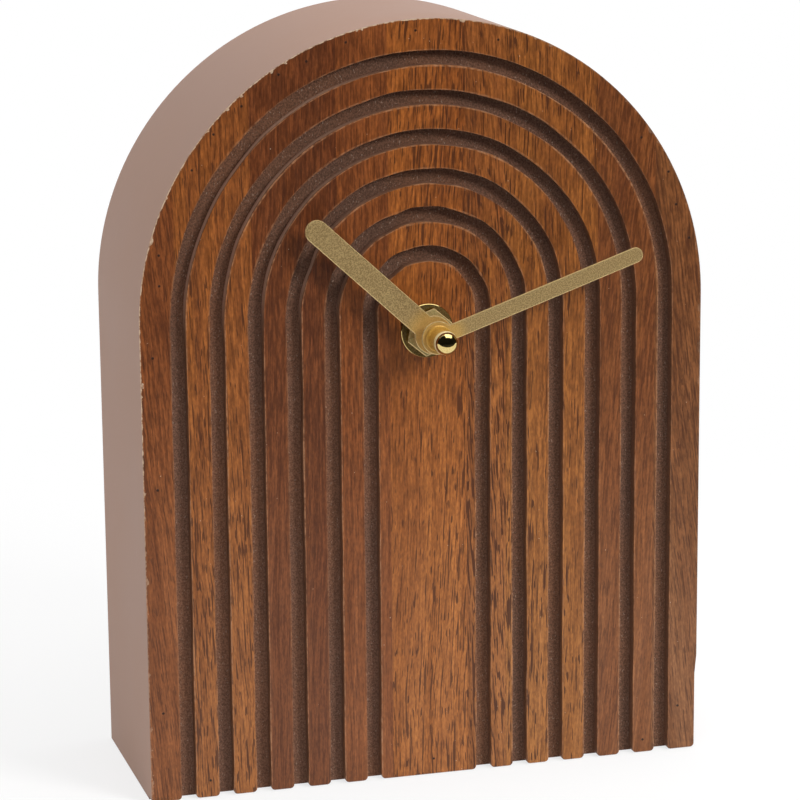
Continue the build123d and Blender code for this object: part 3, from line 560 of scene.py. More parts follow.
def oiled_hardwood():
    f = Finish("oiled_hardwood", Specular_IOR_Level=0.38)
    x, y, z = f.axes()
    # A ramp holds nothing below 0, so slants are stored doubled, about a middle of 0.5
    boards = board_steps(f, x, [colour for _, colour, _, _ in BOARDS])
    slants = board_steps(f, x, [grey(lean * 2 + 0.5) for _, _, lean, _ in BOARDS])
    openness = board_steps(f, x, [grey(share) for _, _, _, share in BOARDS])

    # Grain that leans with its board and sways a little
    slant = f.sums("MULTIPLY", f.sums("SUBTRACT", slants, 0.5), 0.5)
    drift = f.grain((22, 22, 11), detail=2.0, shift=4.0)
    sway = f.sums("MULTIPLY", f.sums("SUBTRACT", drift, 0.5), GRAIN_SWAY)
    leaning = f.sums("ADD", f.sums("ADD", x, f.sums("MULTIPLY", z, slant)), sway)
    along = f.sums("ADD", z, f.sums("MULTIPLY", slants, 0.7))
    grown = f.add("CombineXYZ", leaning, y, along)

    # Broad figure, bands, fibres, flecks and hairs, and a painted floor bounce and sheen that leave the foot
    # lighter and paler than the top
    figure = f.grain((70, 40, 9), detail=3.0, shift=3.0, wander=0.8, place=grown)
    wood = f.mix(f.rise(figure, 0.42, 0.72, 0.0, 0.32), boards, tone(96, 48, 24))
    bands = f.grain((330, 120, 7), detail=3.0, shift=7.0, wander=0.3, place=grown)
    wood = f.vary(wood, bands, 0.35, 0.7, (1.05, 1.05, 1.05, 1), (0.84, 0.79, 0.73, 1))
    fibres = f.grain((2700, 700, 75), detail=2.0, shift=1.0, place=grown)
    wood = f.vary(wood, fibres, 0.34, 0.66, (0.80, 0.75, 0.70, 1), (1.18, 1.17, 1.12, 1))
    flecks = f.grain((2300, 900, 800), detail=1.0, shift=15.0, place=grown)
    wood = f.vary(wood, flecks, 0.35, 0.65, (0.86, 0.84, 0.82, 1), (1.12, 1.12, 1.10, 1))
    hairs = f.grain((1500, 500, 220), detail=1.0, shift=19.0, place=grown)
    streaked = f.vary(wood, hairs, 0.34, 0.66, (0.75, 0.71, 0.66, 1), (1.22, 1.20, 1.14, 1))
    wood = f.mix(f.rise(z, 20 * MM, 110 * MM, 0.2, 1.0), wood, streaked)
    # Painted light: lighter and paler towards the foot, as bounce and sheen from the white floor would make
    # it
    wood = f.vary(wood, z, 10 * MM, 170 * MM, (1.17, 1.33, 1.50, 1), (0.85, 0.83, 0.75, 1))

    # Open pores, and dust
    patches = f.grain((55, 50, 8), detail=2.0, shift=11.0, place=grown)
    open_grain = f.sums("ADD", patches, f.rise(z, 0.0, 0.2, 0.06, -0.12))
    crowding = f.rise(open_grain, 0.36, 0.60, -0.08, 0.0)
    long_pores = f.grain((2100, 700, 95), detail=0.5, shift=5.0, place=grown)
    short_pores = f.grain((2500, 800, 230), detail=0.5, shift=8.0, place=grown)
    crowded = f.sums("MAXIMUM", f.sums("ADD", long_pores, crowding), f.sums("ADD", short_pores, crowding))
    pores = f.rise(crowded, 0.595, 0.63)
    pores = f.sums("MULTIPLY", pores, openness)
    wood = f.mix(f.sums("MULTIPLY", pores, 0.9), wood, tone(70, 36, 18))
    dust = f.grain((1300, 1300, 1100), detail=1.0, shift=13.0)
    wood = f.mix(f.rise(dust, 0.81, 0.83, 0.0, 0.7), wood, tone(196, 172, 150))

    # Painted highlight on the edges of the grooves, and their routed walls with painted light on the left
    # shoulder
    radius = f.arch_radius(x, z)
    across = f.sums("PINGPONG", radius, GROOVE_PITCH / 2)
    outer_side = f.sums("LESS_THAN", f.sums("FRACT", f.sums("DIVIDE", radius, GROOVE_PITCH)), 0.5)
    nicks = f.grain((800, 800, 800), detail=3.0, shift=2.0)
    # Painted highlight: a pale line along the edges of the strips, stronger on the outer edge of each strip
    edge = f.sums("MULTIPLY", f.rise(across, EDGE_HIGHLIGHT_START, EDGE_HIGHLIGHT_FULL), f.rise(radius, 8 * MM, 9 * MM))
    edge = f.sums("MULTIPLY", edge, f.rise(radius, 70 * MM, 71 * MM, 1.0, 0.0))
    edge = f.sums("MULTIPLY", edge, f.rise(nicks, 0.35, 0.65, 0.05, 0.4))
    edge = f.sums("MULTIPLY", edge, f.rise(outer_side, 0.0, 1.0, 1.0, 1.8))
    wood = f.mix(edge, wood, tone(170, 124, 90))
    speckle = f.grain((2400, 2400, 2000), detail=3.0, shift=4.0)
    wall = f.mix(f.rise(speckle, 0.36, 0.66), tone(104, 74, 58), tone(132, 98, 80))
    # Painted light: the outer walls of the grooves on the upper left of the arch are lightened as if lit from
    # the upper left
    shoulder = f.sums("MULTIPLY", f.rise(x, -45 * MM, -5 * MM, 1.0, 0.0), f.rise(z, 118 * MM, 135 * MM))
    wall = f.mix(f.sums("MULTIPLY", outer_side, shoulder), wall, tone(206, 166, 144))
    depth = f.rise(y, FACE_Y + WALL_START, FACE_Y + WALL_FULL)
    wood = f.mix(f.sums("MULTIPLY", depth, 0.85), wood, wall)

    # Worn rim of the border
    chips = f.rise(f.grain((420, 420, 420), detail=2.0, shift=17.0), 0.58, 0.68, 0.0, CHIP_REACH)
    wear = f.sums("ADD", chips, f.sums("MULTIPLY", nicks, NICK_REACH))
    rim = f.rise(f.sums("ADD", radius, wear), ARCH_RADIUS, ARCH_RADIUS + 0.1 * MM)
    worn = f.sums("MULTIPLY", f.sums("MULTIPLY", rim, f.rise(x, -5 * MM, 45 * MM, 1.0, 0.15)),
                  f.rise(z, 40 * MM, 110 * MM, 0.3, 1.0))
    wood = f.mix(f.sums("MULTIPLY", worn, f.rise(nicks, 0.35, 0.6, 0.35, 1.0)), wood, tone(194, 168, 142))

    # Pin holes
    flat = f.add("CombineXYZ", x, 0.0, z)
    nearest = 1.0
    for pin_x, pin_z in PIN_HOLES:
        away = f.distance(flat, (pin_x * MM, 0, pin_z * MM))
        nearest = f.sums("MINIMUM", nearest, away)
    ragged = f.sums("ADD", nearest, f.sums("MULTIPLY", nicks, PIN_RAGGEDNESS))
    pins = f.rise(ragged, PIN_CORE, PIN_RIM, 1.0, 0.0)
    wood = f.mix(pins, wood, tone(42, 25, 17))
    f.colour(wood)
    f.gloss(f.rise(bands, 0.3, 0.7, 0.38, 0.5))
    sunk = f.sums("ADD", pores, f.sums("MULTIPLY", pins, 3.0))
    f.bump(f.sums("SUBTRACT", f.sums("MULTIPLY", fibres, 0.3), sunk), strength=0.35, depth=0.1 * MM)
    return f.material


def routed_board():
    f = Finish("routed_board", Specular_IOR_Level=0.25)
    speckle = f.grain((2400, 2400, 2000), detail=3.0, shift=4.0)
    stain = f.grain((45, 45, 16), detail=2.0, shift=6.0)
    board = f.mix(f.rise(stain, 0.35, 0.65), tone(124, 94, 80), tone(136, 98, 78))
    board = f.vary(board, speckle, 0.34, 0.66, (0.66, 0.64, 0.63, 1), (1.22, 1.22, 1.22, 1))
    x, _, z = f.axes()
    # Painted shade: the groove floors are darker round the arch than on the legs, darker to the right on the
    # legs and to the left round the arch
    shade_to_right = f.rise(x, -10 * MM, 20 * MM)
    legs = f.mix(shade_to_right, (0.97, 0.93, 0.86, 1), (0.83, 0.81, 0.75, 1))
    crown_shade = f.mix(shade_to_right, (0.67, 0.65, 0.61, 1), (0.78, 0.75, 0.70, 1))
    board = f.mix(1.0, board, f.mix(f.rise(z, 100 * MM, 150 * MM), legs, crown_shade), "MULTIPLY")
    flecks = f.grain((2600, 2600, 1500), detail=1.0, shift=9.0)
    board = f.mix(f.rise(flecks, 0.66, 0.74, 0.0, 0.38), board, tone(190, 168, 150))
    f.colour(board)
    f.gloss(f.rise(speckle, 0.3, 0.7, 0.75, 0.95))
    f.bump(speckle, strength=0.6, depth=0.2 * MM)
    return f.material


def raw_board():
    f = Finish("raw_board", Specular_IOR_Level=0.2)
    speckle = f.grain((1100, 1100, 1100), detail=4.0, shift=8.0)
    board = f.ramp(speckle, [(0.3, tone(120, 92, 66)), (0.5, tone(152, 120, 88)), (0.7, tone(172, 142, 108))])
    f.colour(board)
    f.gloss(f.rise(speckle, 0.3, 0.7, 0.8, 0.95))
    f.bump(speckle, strength=0.4, depth=0.15 * MM)
    return f.material


def taupe_paint():
    f = Finish("taupe_paint", Specular_IOR_Level=0.15)
    x, y, z = f.axes()
    cloud = f.grain((18, 18, 18), detail=3.0, shift=2.0)
    paint = f.mix(f.rise(cloud, 0.3, 0.7), tone(150, 117, 100), tone(156, 124, 107))
    scuffs = f.grain((130, 900, 130), detail=3.0, shift=5.0)
    paint = f.mix(f.rise(scuffs, 0.66, 0.76, 0.0, 0.12), paint, tone(190, 168, 154))
    nicks = f.grain((420, 420, 420), detail=3.0, shift=2.0)
    rim = f.sums("MULTIPLY", f.rise(f.arch_radius(x, z), ARCH_RADIUS - 0.6 * MM, ARCH_RADIUS - 0.25 * MM),
                 f.rise(y, BACK_Y - 0.6 * MM, BACK_Y - 0.25 * MM))
    paint = f.mix(f.sums("MULTIPLY", rim, f.rise(nicks, 0.45, 0.7, 0.1, 0.7)), paint, tone(188, 164, 148))
    f.colour(paint)
    peel = f.grain((700, 700, 700), detail=2.0, shift=1.0)
    f.gloss(f.rise(cloud, 0.3, 0.7, 0.45, 0.55))
    f.bump(peel, strength=0.15, depth=0.05 * MM)
    return f.material


def gold(name, base, dark, roughness, speckle_depth, boss=None, **sockets):
    """Gold plate with a fine speckle, and on the hands a painted warm reflection of the ball cap round the
    boss.
    """
    f = Finish(name, **sockets)
    speckle = f.grain((3000, 3000, 3000), detail=3.0, shift=3.0)
    cloud = f.grain((140, 140, 140), detail=2.0, shift=1.0)
    metal = f.mix(f.rise(speckle, 0.36, 0.64), dark, base)
    metal = f.mix(f.rise(cloud, 0.3, 0.7, 0.0, 0.2), metal, dark)
    # Painted reflection: the hands turn warmer round the boss, as if they mirrored the ball cap
    if boss:
        x, _, z = f.axes()
        from_axis = f.distance(f.add("CombineXYZ", x, 0.0, z), (0, 0, CENTRE.z))
        metal = f.mix(f.rise(from_axis, 4.5 * MM, 9 * MM, 0.6, 0.0), metal, boss)
    f.colour(metal)
    f.gloss(f.rise(cloud, 0.3, 0.7, roughness * 0.85, roughness * 1.2))
    f.bump(speckle, strength=speckle_depth, depth=0.03 * MM)
    return f.material


def moulded(name, base, dark, roughness, texture=1400):
    """Plastic, rubber or resin with a fine moulded texture."""
    f = Finish(name, Specular_IOR_Level=0.4)
    cloud = f.grain((60, 60, 60), detail=2.0, shift=2.0)
    skin = f.grain((texture, texture, texture), detail=2.0, shift=6.0)
    f.colour(f.mix(f.rise(cloud, 0.3, 0.7), dark, base))
    f.gloss(f.rise(skin, 0.3, 0.7, roughness * 0.85, roughness * 1.15))
    f.bump(skin, strength=0.25, depth=0.05 * MM)
    return f.material


def plated(name, base, dark, roughness, lines):
    """Bright metal with drawing lines along one axis."""
    f = Finish(name, Metallic=1.0)
    drawn = f.grain(lines, detail=3.0, shift=4.0)
    f.colour(f.mix(f.rise(drawn, 0.3, 0.7), dark, base))
    f.gloss(f.rise(drawn, 0.3, 0.7, roughness * 0.75, roughness * 1.3))
    f.bump(drawn, strength=0.15, depth=0.02 * MM)
    return f.material


WOOD = oiled_hardwood()
GROOVE_FLOOR = routed_board()
POCKET_BOARD = raw_board()
PAINT = taupe_paint()
# Satin gold of the hands; its last tone is the painted warm reflection round the boss
SATIN_GOLD = gold("satin_gold", tone(212, 182, 126), tone(160, 132, 86), 0.4, 0.4, tone(236, 188, 98),
                  Metallic=0.5)
NUT_GOLD = gold("nut_gold", tone(226, 208, 146), tone(194, 174, 112), 0.25, 0.15, Metallic=0.55)
# Painted shade: a darker gold than the nut's, for the shade of the hands over the washer
WASHER_GOLD = gold("washer_gold", tone(164, 140, 86), tone(124, 102, 58), 0.25, 0.2, Metallic=0.7)
# Painted highlight: a paler gold for the eased edges of the hands and the nut
RIM_HIGHLIGHT_GOLD = gold("rim_highlight_gold", tone(236, 208, 150), tone(220, 190, 130), 0.2, 0.08, Metallic=0.5)
WARM_GOLD = gold("warm_gold", tone(216, 170, 80), tone(192, 144, 62), 0.35, 0.1, Metallic=0.35)
# Painted highlight for the ball's limb: a pale, hardly metallic gold
LIMB_HIGHLIGHT_GOLD = gold("limb_highlight_gold", tone(255, 240, 192), tone(244, 222, 166), 0.3, 0.05, Metallic=0.2)
POLISHED_GOLD = gold("polished_gold", tone(230, 206, 142), tone(216, 188, 120), 0.1, 0.04, Metallic=1.0)
STEM_BRASS = plated("turned_brass", tone(206, 172, 98), tone(176, 140, 74), 0.25, (300, 2400, 300))
STEEL = plated("bright_steel", tone(196, 196, 194), tone(160, 160, 160), 0.28, (200, 2200, 900))
COPPER = plated("copper_wire", tone(196, 112, 66), tone(132, 66, 36), 0.32, (3600, 120, 120))
BLACK_PLASTIC = moulded("black_plastic", tone(60, 60, 62), tone(50, 50, 53), 0.45)
WHITE_PLASTIC = moulded("white_acetal", tone(228, 225, 214), tone(214, 210, 198), 0.42)
RUBBER = moulded("black_rubber", tone(34, 34, 34), tone(26, 26, 26), 0.8, 900)
CIRCUIT = moulded("circuit_green", tone(40, 104, 62), tone(28, 84, 48), 0.35, 500)
RESIN = moulded("chip_resin", tone(30, 30, 30), tone(20, 20, 20), 0.2, 300)
SLEEVE = moulded("battery_sleeve", tone(132, 138, 142), tone(120, 126, 131), 0.28, 600)
SLEEVE_BAND = moulded("battery_band", tone(52, 70, 92), tone(44, 60, 80), 0.28, 600)


# Face and block

settle("case_block", case_block(), "case", [PAINT, GROOVE_FLOOR, POCKET_BOARD], ["case_body"])

border = arch_strip(ARCH_RADIUS, BORDER_INNER, True)
for face in border.faces:
    out = away_from_arch(face.calc_center_median())
    if face.normal.dot(out) > OUTWARD:
        face.material_index = 1
settle("arch_border", border, "case", [WOOD, PAINT], ["face_border"])
for number in range(1, SLAT_COUNT + 1):
    outer = BORDER_INNER + SLAT_WIDTH - number * GROOVE_PITCH
    slat = arch_strip(outer, outer - SLAT_WIDTH, False)
    settle(f"arch_slat_{number}", slat, "case", [WOOD], [f"face_slat_{number}"])
settle("arch_tongue", tongue(), "case", [WOOD], ["face_tongue"])


# Stem and its fastenings

washer = turned([(THREAD_RADIUS, FACE_Y), (WASHER_RADIUS, FACE_Y), (WASHER_RADIUS, WASHER_Y + EASED_WASHER),
                 (WASHER_RADIUS - EASED_WASHER, WASHER_Y), (THREAD_RADIUS, WASHER_Y),
                 (THREAD_RADIUS, FACE_Y)], CENTRE)
bright_rim(washer)
settle("gold_washer", washer, "case", [WASHER_GOLD, POLISHED_GOLD], ["front_washer"])

hex_nut = bmesh.new()
hexagon = ring(hex_nut, (0, WASHER_Y, CENTRE.z), NUT_ACROSS_FLATS / math.sqrt(3), 6)
hexagon_front = carry(hex_nut, hexagon, (0, NUT_Y - WASHER_Y, 0))
nut_holes = []
for y, outline in ((WASHER_Y, hexagon), (NUT_Y, hexagon_front)):
    nut_hole = ring(hex_nut, (0, y, CENTRE.z), THREAD_RADIUS, BORE_STEPS)
    fill(hex_nut, outline + nut_hole)
    nut_holes += nut_hole
bmesh.ops.bridge_loops(hex_nut, edges=nut_holes)
bmesh.ops.recalc_face_normals(hex_nut, faces=hex_nut.faces)
ease(hex_nut, sharp_edges(hex_nut), EASED_NUT)
nut_faces(hex_nut)
tightened = Matrix.Translation(CENTRE) @ Matrix.Rotation(NUT_TURN, 4, "Y") @ Matrix.Translation(-CENTRE)
bmesh.ops.transform(hex_nut, matrix=tightened, verts=hex_nut.verts)
settle("gold_hex_nut", hex_nut, "case", [NUT_GOLD, RIM_HIGHLIGHT_GOLD, POLISHED_GOLD], ["fixing_nut"])

HAND_GOLD = [SATIN_GOLD, RIM_HIGHLIGHT_GOLD]
hour_plate = hand_plate(length=44.5 * MM, width=6 * MM, boss_radius=5 * MM, bore_radius=2.6 * MM,
                        front=HOUR_HAND_Y, angle=-47)
settle("hour_pointer", hour_plate, "hour_hand", HAND_GOLD, ["hour_hand"])
minute_plate = hand_plate(length=58 * MM, width=4 * MM, boss_radius=4.3 * MM, bore_radius=1.75 * MM,
                          front=MINUTE_HAND_Y, angle=71)
settle("minute_pointer", minute_plate, "minute_hand", HAND_GOLD, ["minute_hand"])

# Flange under the ball as (radius, height over the minute hand) in millimetres, ending at the ball's neck
FLANGE = [(1.2, 0), (3.25, 0), (3.4, 0.15), (3.4, 0.7), (3.2, 0.9), (2.5, 0.9)]
# Depths from the ball's middle where its polish gives way to a painted pale highlight round the limb, and
# then to the warm gold of the flange
LIMB_HIGHLIGHT_FROM = -0.9 * MM
WARM_FROM = 1.6 * MM
ball_profile = [(radius * MM, MINUTE_HAND_Y - height * MM) for radius, height in FLANGE]
neck_turn = math.asin(FLANGE[-1][0] * MM / BALL_RADIUS)
for step in range(BALL_STEPS + 1):
    turn = neck_turn + (math.pi - neck_turn) * step / BALL_STEPS
    ball_profile.append((BALL_RADIUS * math.sin(turn), BALL_Y + BALL_RADIUS * math.cos(turn)))
ball_cap = turned(ball_profile, CENTRE)
for face in ball_cap.faces:
    behind = face.calc_center_median().y - BALL_Y
    face.material_index = int(behind > LIMB_HIGHLIGHT_FROM) + int(behind > WARM_FROM)
settle("ball_cap", ball_cap, "minute_hand", [POLISHED_GOLD, LIMB_HIGHLIGHT_GOLD, WARM_GOLD], ["ball_nut"])


# Movement: the pieces that show in the pocket

COVER_BACK_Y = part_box("rear_cover")[1].y
KNOB_LOW, KNOB_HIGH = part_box("setting_knob")
KNOB_AXIS = Vector(((KNOB_LOW.x + KNOB_HIGH.x) / 2, COVER_BACK_Y, (KNOB_LOW.z + KNOB_HIGH.z) / 2))
MARK_HEIGHT = 0.4 * MM
MARK_FOOT = 0.2 * MM
MARK_WIDTH = 0.9 * MM
MARK_ARM = 1.4 * MM
EASED_MARK = 0.12 * MM
POLE_MARK_X = 22 * MM
POLE_MARK_Z = 111.5 * MM
ARROW_RADIUS = 7.6 * MM
ARROW_SWEEP = math.radians(110)
ARROW_STEPS = 24
ARROW_BARB_SPREAD = 2.6
ARROW_POINT_SWEEP = math.radians(17)
EASED_COVER = 0.3 * MM
EASED_KNOB = 0.15 * MM


def raise_mark(bm, sheet):
    """Lifts a flat outline on the rear cover into a moulded mark with a sunk foot and eased top edges."""
    made = bmesh.ops.extrude_face_region(bm, geom=sheet)
    top = verts_of(made)
    bmesh.ops.translate(bm, verts=top, vec=(0, MARK_HEIGHT + MARK_FOOT, 0))
    lifted = set(top)
    links = {e for v in top for e in v.link_edges}
    rims = [e for e in links if e.verts[0] in lifted and e.verts[1] in lifted]
    bmesh.ops.recalc_face_normals(bm, faces=list({f for v in top for f in v.link_faces} | set(sheet)))
    ease(bm, [e for e in rims if e.calc_face_angle() > SHARP_TURN], EASED_MARK)


def pole_mark(bm, x, z, with_upright):
    """A plus or a minus beside an end of the battery bay."""
    place = Matrix.Translation((x, COVER_BACK_Y - MARK_FOOT, z)) @ Matrix.Rotation(-math.pi / 2, 4, "X")
    middle = bmesh.ops.create_grid(bm, x_segments=1, y_segments=1, size=MARK_WIDTH / 2, matrix=place)["verts"]
    sheet = [middle[0].link_faces[0]]
    for edge in sheet[0].edges[:]:
        way = (edge.verts[0].co + edge.verts[1].co) / 2 - place.translation
        if with_upright or abs(way.x) > abs(way.z):
            arm = bmesh.ops.extrude_edge_only(bm, edges=[edge])
            bmesh.ops.translate(bm, verts=verts_of(arm), vec=way.normalized() * MARK_ARM)
            sheet += [g for g in arm["geom"] if isinstance(g, bmesh.types.BMFace)]
    raise_mark(bm, sheet)


def setting_arrow(bm):
    """A moulded arrow round the inner side of the setting knob."""
    foot = KNOB_AXIS - Vector((0, MARK_FOOT, 0))
    back_turn = Matrix.Rotation(-ARROW_SWEEP / 2, 4, "Y")
    ends = [foot + back_turn @ Vector((ARROW_RADIUS + side * MARK_WIDTH / 2, 0, 0)) for side in (-1, 1)]
    tail = bm.edges.new([bm.verts.new(end) for end in ends])
    bow = bmesh.ops.spin(bm, geom=[*tail.verts, tail], cent=foot, axis=(0, 1, 0), angle=ARROW_SWEEP,
                         steps=ARROW_STEPS)
    sheet = list({f for v in tail.verts for f in v.link_faces})
    while len(sheet) < ARROW_STEPS:
        sheet = list({f for face in sheet for e in face.edges for f in e.link_faces} | set(sheet))
    head = [g for g in bow["geom_last"] if isinstance(g, bmesh.types.BMEdge)]
    barbs = bmesh.ops.extrude_edge_only(bm, edges=head)
    sheet += [g for g in barbs["geom"] if isinstance(g, bmesh.types.BMFace)]
    middle = sum((v.co for v in verts_of(barbs)), Vector()) / 2
    for vert in verts_of(barbs):
        vert.co += (vert.co - middle) * ARROW_BARB_SPREAD
    onward = Matrix.Rotation(ARROW_POINT_SWEEP, 4, "Y") @ (middle - foot) - (middle - foot)
    point = bm.verts.new(middle + onward)
    sheet.append(bm.faces.new([*verts_of(barbs), point]))
    raise_mark(bm, sheet)


cover = eased_copy("rear_cover", EASED_COVER)
pole_mark(cover, -POLE_MARK_X, POLE_MARK_Z, True)
pole_mark(cover, POLE_MARK_X, POLE_MARK_Z, False)
setting_arrow(cover)
settle("eased_rear_cover", cover, "case", [BLACK_PLASTIC], ["rear_cover"])
knob = eased_copy("setting_knob", EASED_KNOB)
settle("eased_setting_knob", knob, "setting_knob", [BLACK_PLASTIC], ["setting_knob"])

CELL_LOW, CELL_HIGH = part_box("battery")
CELL_STEPS = 64
CELL_SHOULDER_X = CELL_LOW.x + 1.2 * MM
CELL_BAND = 9 * MM
CELL_SEAL = 0.15 * MM
CELL_FOOT_RIM = 0.06 * MM
# The cell's button, shoulder and foot as (radius, distance along it) in millimetres from where each starts
CELL_BUTTON = [(0, 0), (2.45, 0), (2.75, 0.3)]
CELL_SHOULDER = [(2.75, 0.15), (5.9, 0.15), (6.1, 0), (6.7, 0), (7.25, 0.5), (7.25, 9)]
CELL_FOOT = [(7.25, -0.45), (6.9, -0.1), (6.6, -0.1), (6.5, 0), (0, 0)]
cell_profile = []
for origin, points in ((CELL_LOW.x, CELL_BUTTON), (CELL_SHOULDER_X, CELL_SHOULDER), (CELL_HIGH.x, CELL_FOOT)):
    cell_profile += [(radius * MM, origin + along * MM) for radius, along in points]
cell = turned(cell_profile, Vector((0, 0, 0)), CELL_STEPS)
laid = Matrix.Translation((0, (CELL_LOW.y + CELL_HIGH.y) / 2, (CELL_LOW.z + CELL_HIGH.z) / 2))
bmesh.ops.transform(cell, matrix=laid @ Matrix.Rotation(-math.pi / 2, 4, "Z"), verts=cell.verts)
for face in cell.faces:
    place = face.calc_center_median()
    in_sleeve = CELL_SHOULDER_X - SAME_PLACE < place.x < CELL_HIGH.x - CELL_FOOT_RIM
    on_seal = abs(place.x - CELL_SHOULDER_X - CELL_SEAL) < SAME_PLACE
    if on_seal or not in_sleeve:
        face.material_index = 2
    elif place.x < CELL_SHOULDER_X + CELL_BAND:
        face.material_index = 1
settle("dry_cell", cell, "case", [SLEEVE, SLEEVE_BAND, STEEL], ["battery"])


# Movement: CAD nodes that keep their shape

NODE_FINISHES = {
    "threaded_stem": STEM_BRASS, "minute_arbor": STEM_BRASS, "rubber_washer": RUBBER,
    "middle_plate": WHITE_PLASTIC, "hour_wheel": WHITE_PLASTIC, "minute_wheel": WHITE_PLASTIC,
    "centre_wheel": WHITE_PLASTIC, "third_wheel": WHITE_PLASTIC, "second_wheel": WHITE_PLASTIC,
    "intermediate_wheel": WHITE_PLASTIC, "rotor_pinion": WHITE_PLASTIC, "coil_bobbin": WHITE_PLASTIC,
    "stator": STEEL, "coil_core": STEEL, "crystal": STEEL, "rotor_magnet": STEEL,
    "positive_contact": STEEL, "negative_contact": STEEL, "movement_housing": BLACK_PLASTIC,
    "coil_winding": COPPER, "circuit_board": CIRCUIT, "chip": RESIN,
}
for node, finish in NODE_FINISHES.items():
    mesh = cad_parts[node].data
    mesh.materials.clear()
    mesh.materials.append(finish)


# Stage: floor, cards, lamps, world and camera

def stage_piece(name, bm, finish):
    """Turns a bmesh into a piece of the stage, which isn't part of the clock."""
    mesh = bpy.data.meshes.new(name)
    bm.to_mesh(mesh)
    bm.free()
    mesh.materials.append(finish)
    piece = bpy.data.objects.new(name, mesh)
    bpy.context.scene.collection.objects.link(piece)
    return piece


def stage_sheet(name, half_width, front, rear, z, finish):
    """A level sheet of the stage."""
    bm = bmesh.new()
    corners = [(-half_width, front, z), (half_width, front, z), (half_width, rear, z), (-half_width, rear, z)]
    bm.faces.new([bm.verts.new(corner) for corner in corners])
    return stage_piece(name, bm, finish)


def light_share(tree):
    """1 for rays that should see the white backdrop: camera, glossy and transmission rays."""
    path = tree.nodes.new("ShaderNodeLightPath")
    share = path.outputs["Is Camera Ray"]
    for name in ("Is Glossy Ray", "Is Transmission Ray"):
        most = tree.nodes.new("ShaderNodeMath")
        most.operation = "MAXIMUM"
        tree.links.new(share, most.inputs[0])
        tree.links.new(path.outputs[name], most.inputs[1])
        share = most.outputs[0]
    return share


white_floor = Finish("white_floor", Base_Color=(0.9, 0.9, 0.9, 1), Roughness=0.9, Specular_IOR_Level=0.0)
floor_tree = white_floor.material.node_tree
glow = white_floor.add("Emission")
open_floor = white_floor.rise(white_floor.length(white_floor.place), 0.1, 0.4, 0.72, 1.0)
part_glow = white_floor.sums("MULTIPLY", light_share(floor_tree), open_floor)
floor_mix = white_floor.add("MixShader", part_glow, white_floor.shader.outputs[0], glow)
floor_tree.links.new(floor_mix, floor_tree.nodes["Material Output"].inputs[0])
FLOOR_REACH = 4.0
FLOOR_Z = -0.2 * MM
stage_sheet("floor", FLOOR_REACH, -FLOOR_REACH, FLOOR_REACH, FLOOR_Z, white_floor.material)

# Dark table end and room in front of the clock, hidden from the camera: they show in the gold and the sheen
ROOM_RADIUS = 2.0
ROOM_RISE = math.radians(88)
ROOM_RISE_STEPS = 12
ROOM_SWEEP = math.radians(210)
ROOM_SWEEP_STEPS = 28
TABLE_END_Y = -0.26
dark_card = Finish("dark_card", Base_Color=(0.03, 0.03, 0.03, 1), Roughness=0.9, Specular_IOR_Level=0.0)
table_end = stage_sheet("table_end", ROOM_RADIUS, -ROOM_RADIUS, TABLE_END_Y, MM, dark_card.material)
dome = bmesh.new()
dome_foot = dome.verts.new((0, -ROOM_RADIUS, 0))
bmesh.ops.spin(dome, geom=[dome_foot], cent=(0, 0, 0), axis=(1, 0, 0), angle=-ROOM_RISE,
               steps=ROOM_RISE_STEPS)
bmesh.ops.rotate(dome, cent=(0, 0, 0), matrix=Matrix.Rotation(-ROOM_SWEEP / 2, 3, "Z"), verts=dome.verts)
bmesh.ops.spin(dome, geom=dome.verts[:] + dome.edges[:], cent=(0, 0, 0), axis=(0, 0, 1), angle=ROOM_SWEEP,
               steps=ROOM_SWEEP_STEPS)
dark_room = stage_piece("dark_room", dome, dark_card.material)
for card in (table_end, dark_room):
    card.visible_camera = False
    card.visible_shadow = False
dark_room.visible_diffuse = False


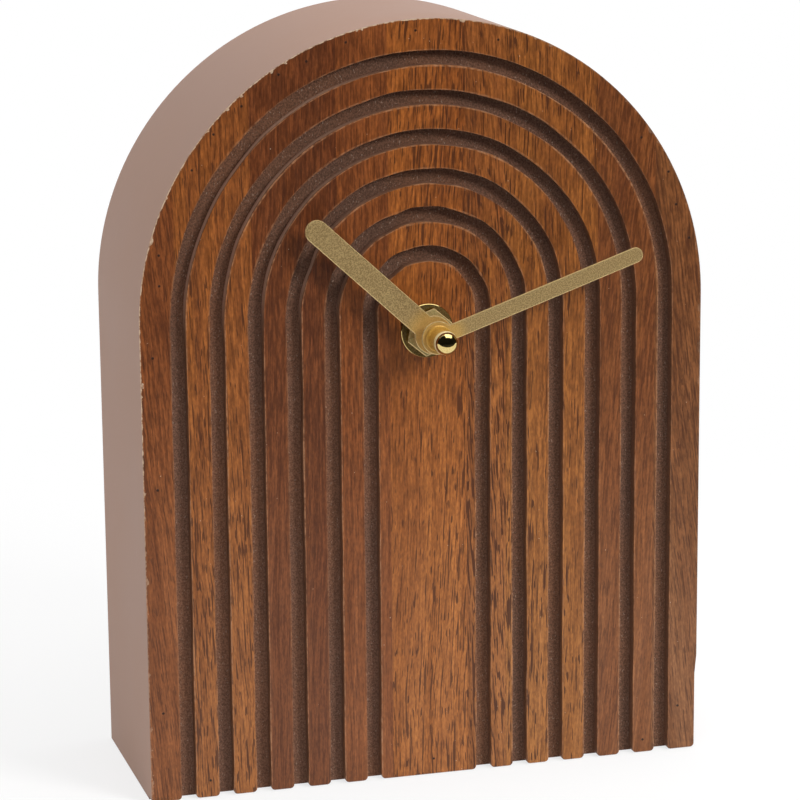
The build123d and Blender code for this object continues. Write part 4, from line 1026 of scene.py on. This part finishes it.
def soft_lamp(name, place, aim, width, height, power, mirrored=True):
    lamp = bpy.data.lights.new(name, "AREA")
    lamp.shape = "RECTANGLE"
    lamp.size = width
    lamp.size_y = height
    lamp.energy = power
    holder = bpy.data.objects.new(name, lamp)
    holder.location = place
    holder.rotation_euler = (Vector(aim) - Vector(place)).to_track_quat("-Z", "Y").to_euler()
    holder.visible_glossy = mirrored
    bpy.context.scene.collection.objects.link(holder)


CLOCK_MIDDLE = (0, 0, 0.1)
soft_lamp("overhead_softbox", (0.38, -0.08, 0.95), (0.38, -0.08, 0), 0.95, 0.75, 5.0)
soft_lamp("key_softbox", (0.56, -0.80, 0.68), CLOCK_MIDDLE, 0.36, 0.36, 8.7, mirrored=False)
soft_lamp("upper_left_fill", (-0.3, -0.5, 0.92), CLOCK_MIDDLE, 0.4, 0.4, 1.4, mirrored=False)
soft_lamp("left_fill", (-1.0, 0.25, 0.4), CLOCK_MIDDLE, 0.8, 0.8, 3, mirrored=False)
soft_lamp("back_fill", (-0.2, 1.1, 0.6), CLOCK_MIDDLE, 0.8, 0.8, 4, mirrored=False)

ROOM_LIGHT = 0.3
world = bpy.data.worlds.new("studio")
bpy.context.scene.world = world
world.use_nodes = True
sky = world.node_tree.nodes["Background"]
sky.inputs["Color"].default_value = (1, 1, 1, 1)
level = world.node_tree.nodes.new("ShaderNodeMapRange")
world.node_tree.links.new(light_share(world.node_tree), level.inputs[0])
level.inputs["To Min"].default_value = ROOM_LIGHT
level.inputs["To Max"].default_value = 1.0
world.node_tree.links.new(level.outputs[0], sky.inputs["Strength"])

CAMERA_PLACE = (-0.22951, -0.81089, 0.28942)
YAW, PITCH, ROLL = 0.27639, 0.22606, -0.00874
camera_data = bpy.data.cameras.new("photo_camera")
camera_data.lens = 146.2
camera_data.sensor_width = 36
camera = bpy.data.objects.new("photo_camera", camera_data)
facing = Matrix.Rotation(-YAW, 4, "Z") @ Matrix.Rotation(math.pi / 2 - PITCH, 4, "X")
camera.matrix_world = Matrix.Translation(CAMERA_PLACE) @ (facing @ Matrix.Rotation(ROLL, 4, "Z"))
bpy.context.scene.collection.objects.link(camera)
bpy.context.scene.camera = camera
bpy.context.scene.view_settings.view_transform = "Standard"
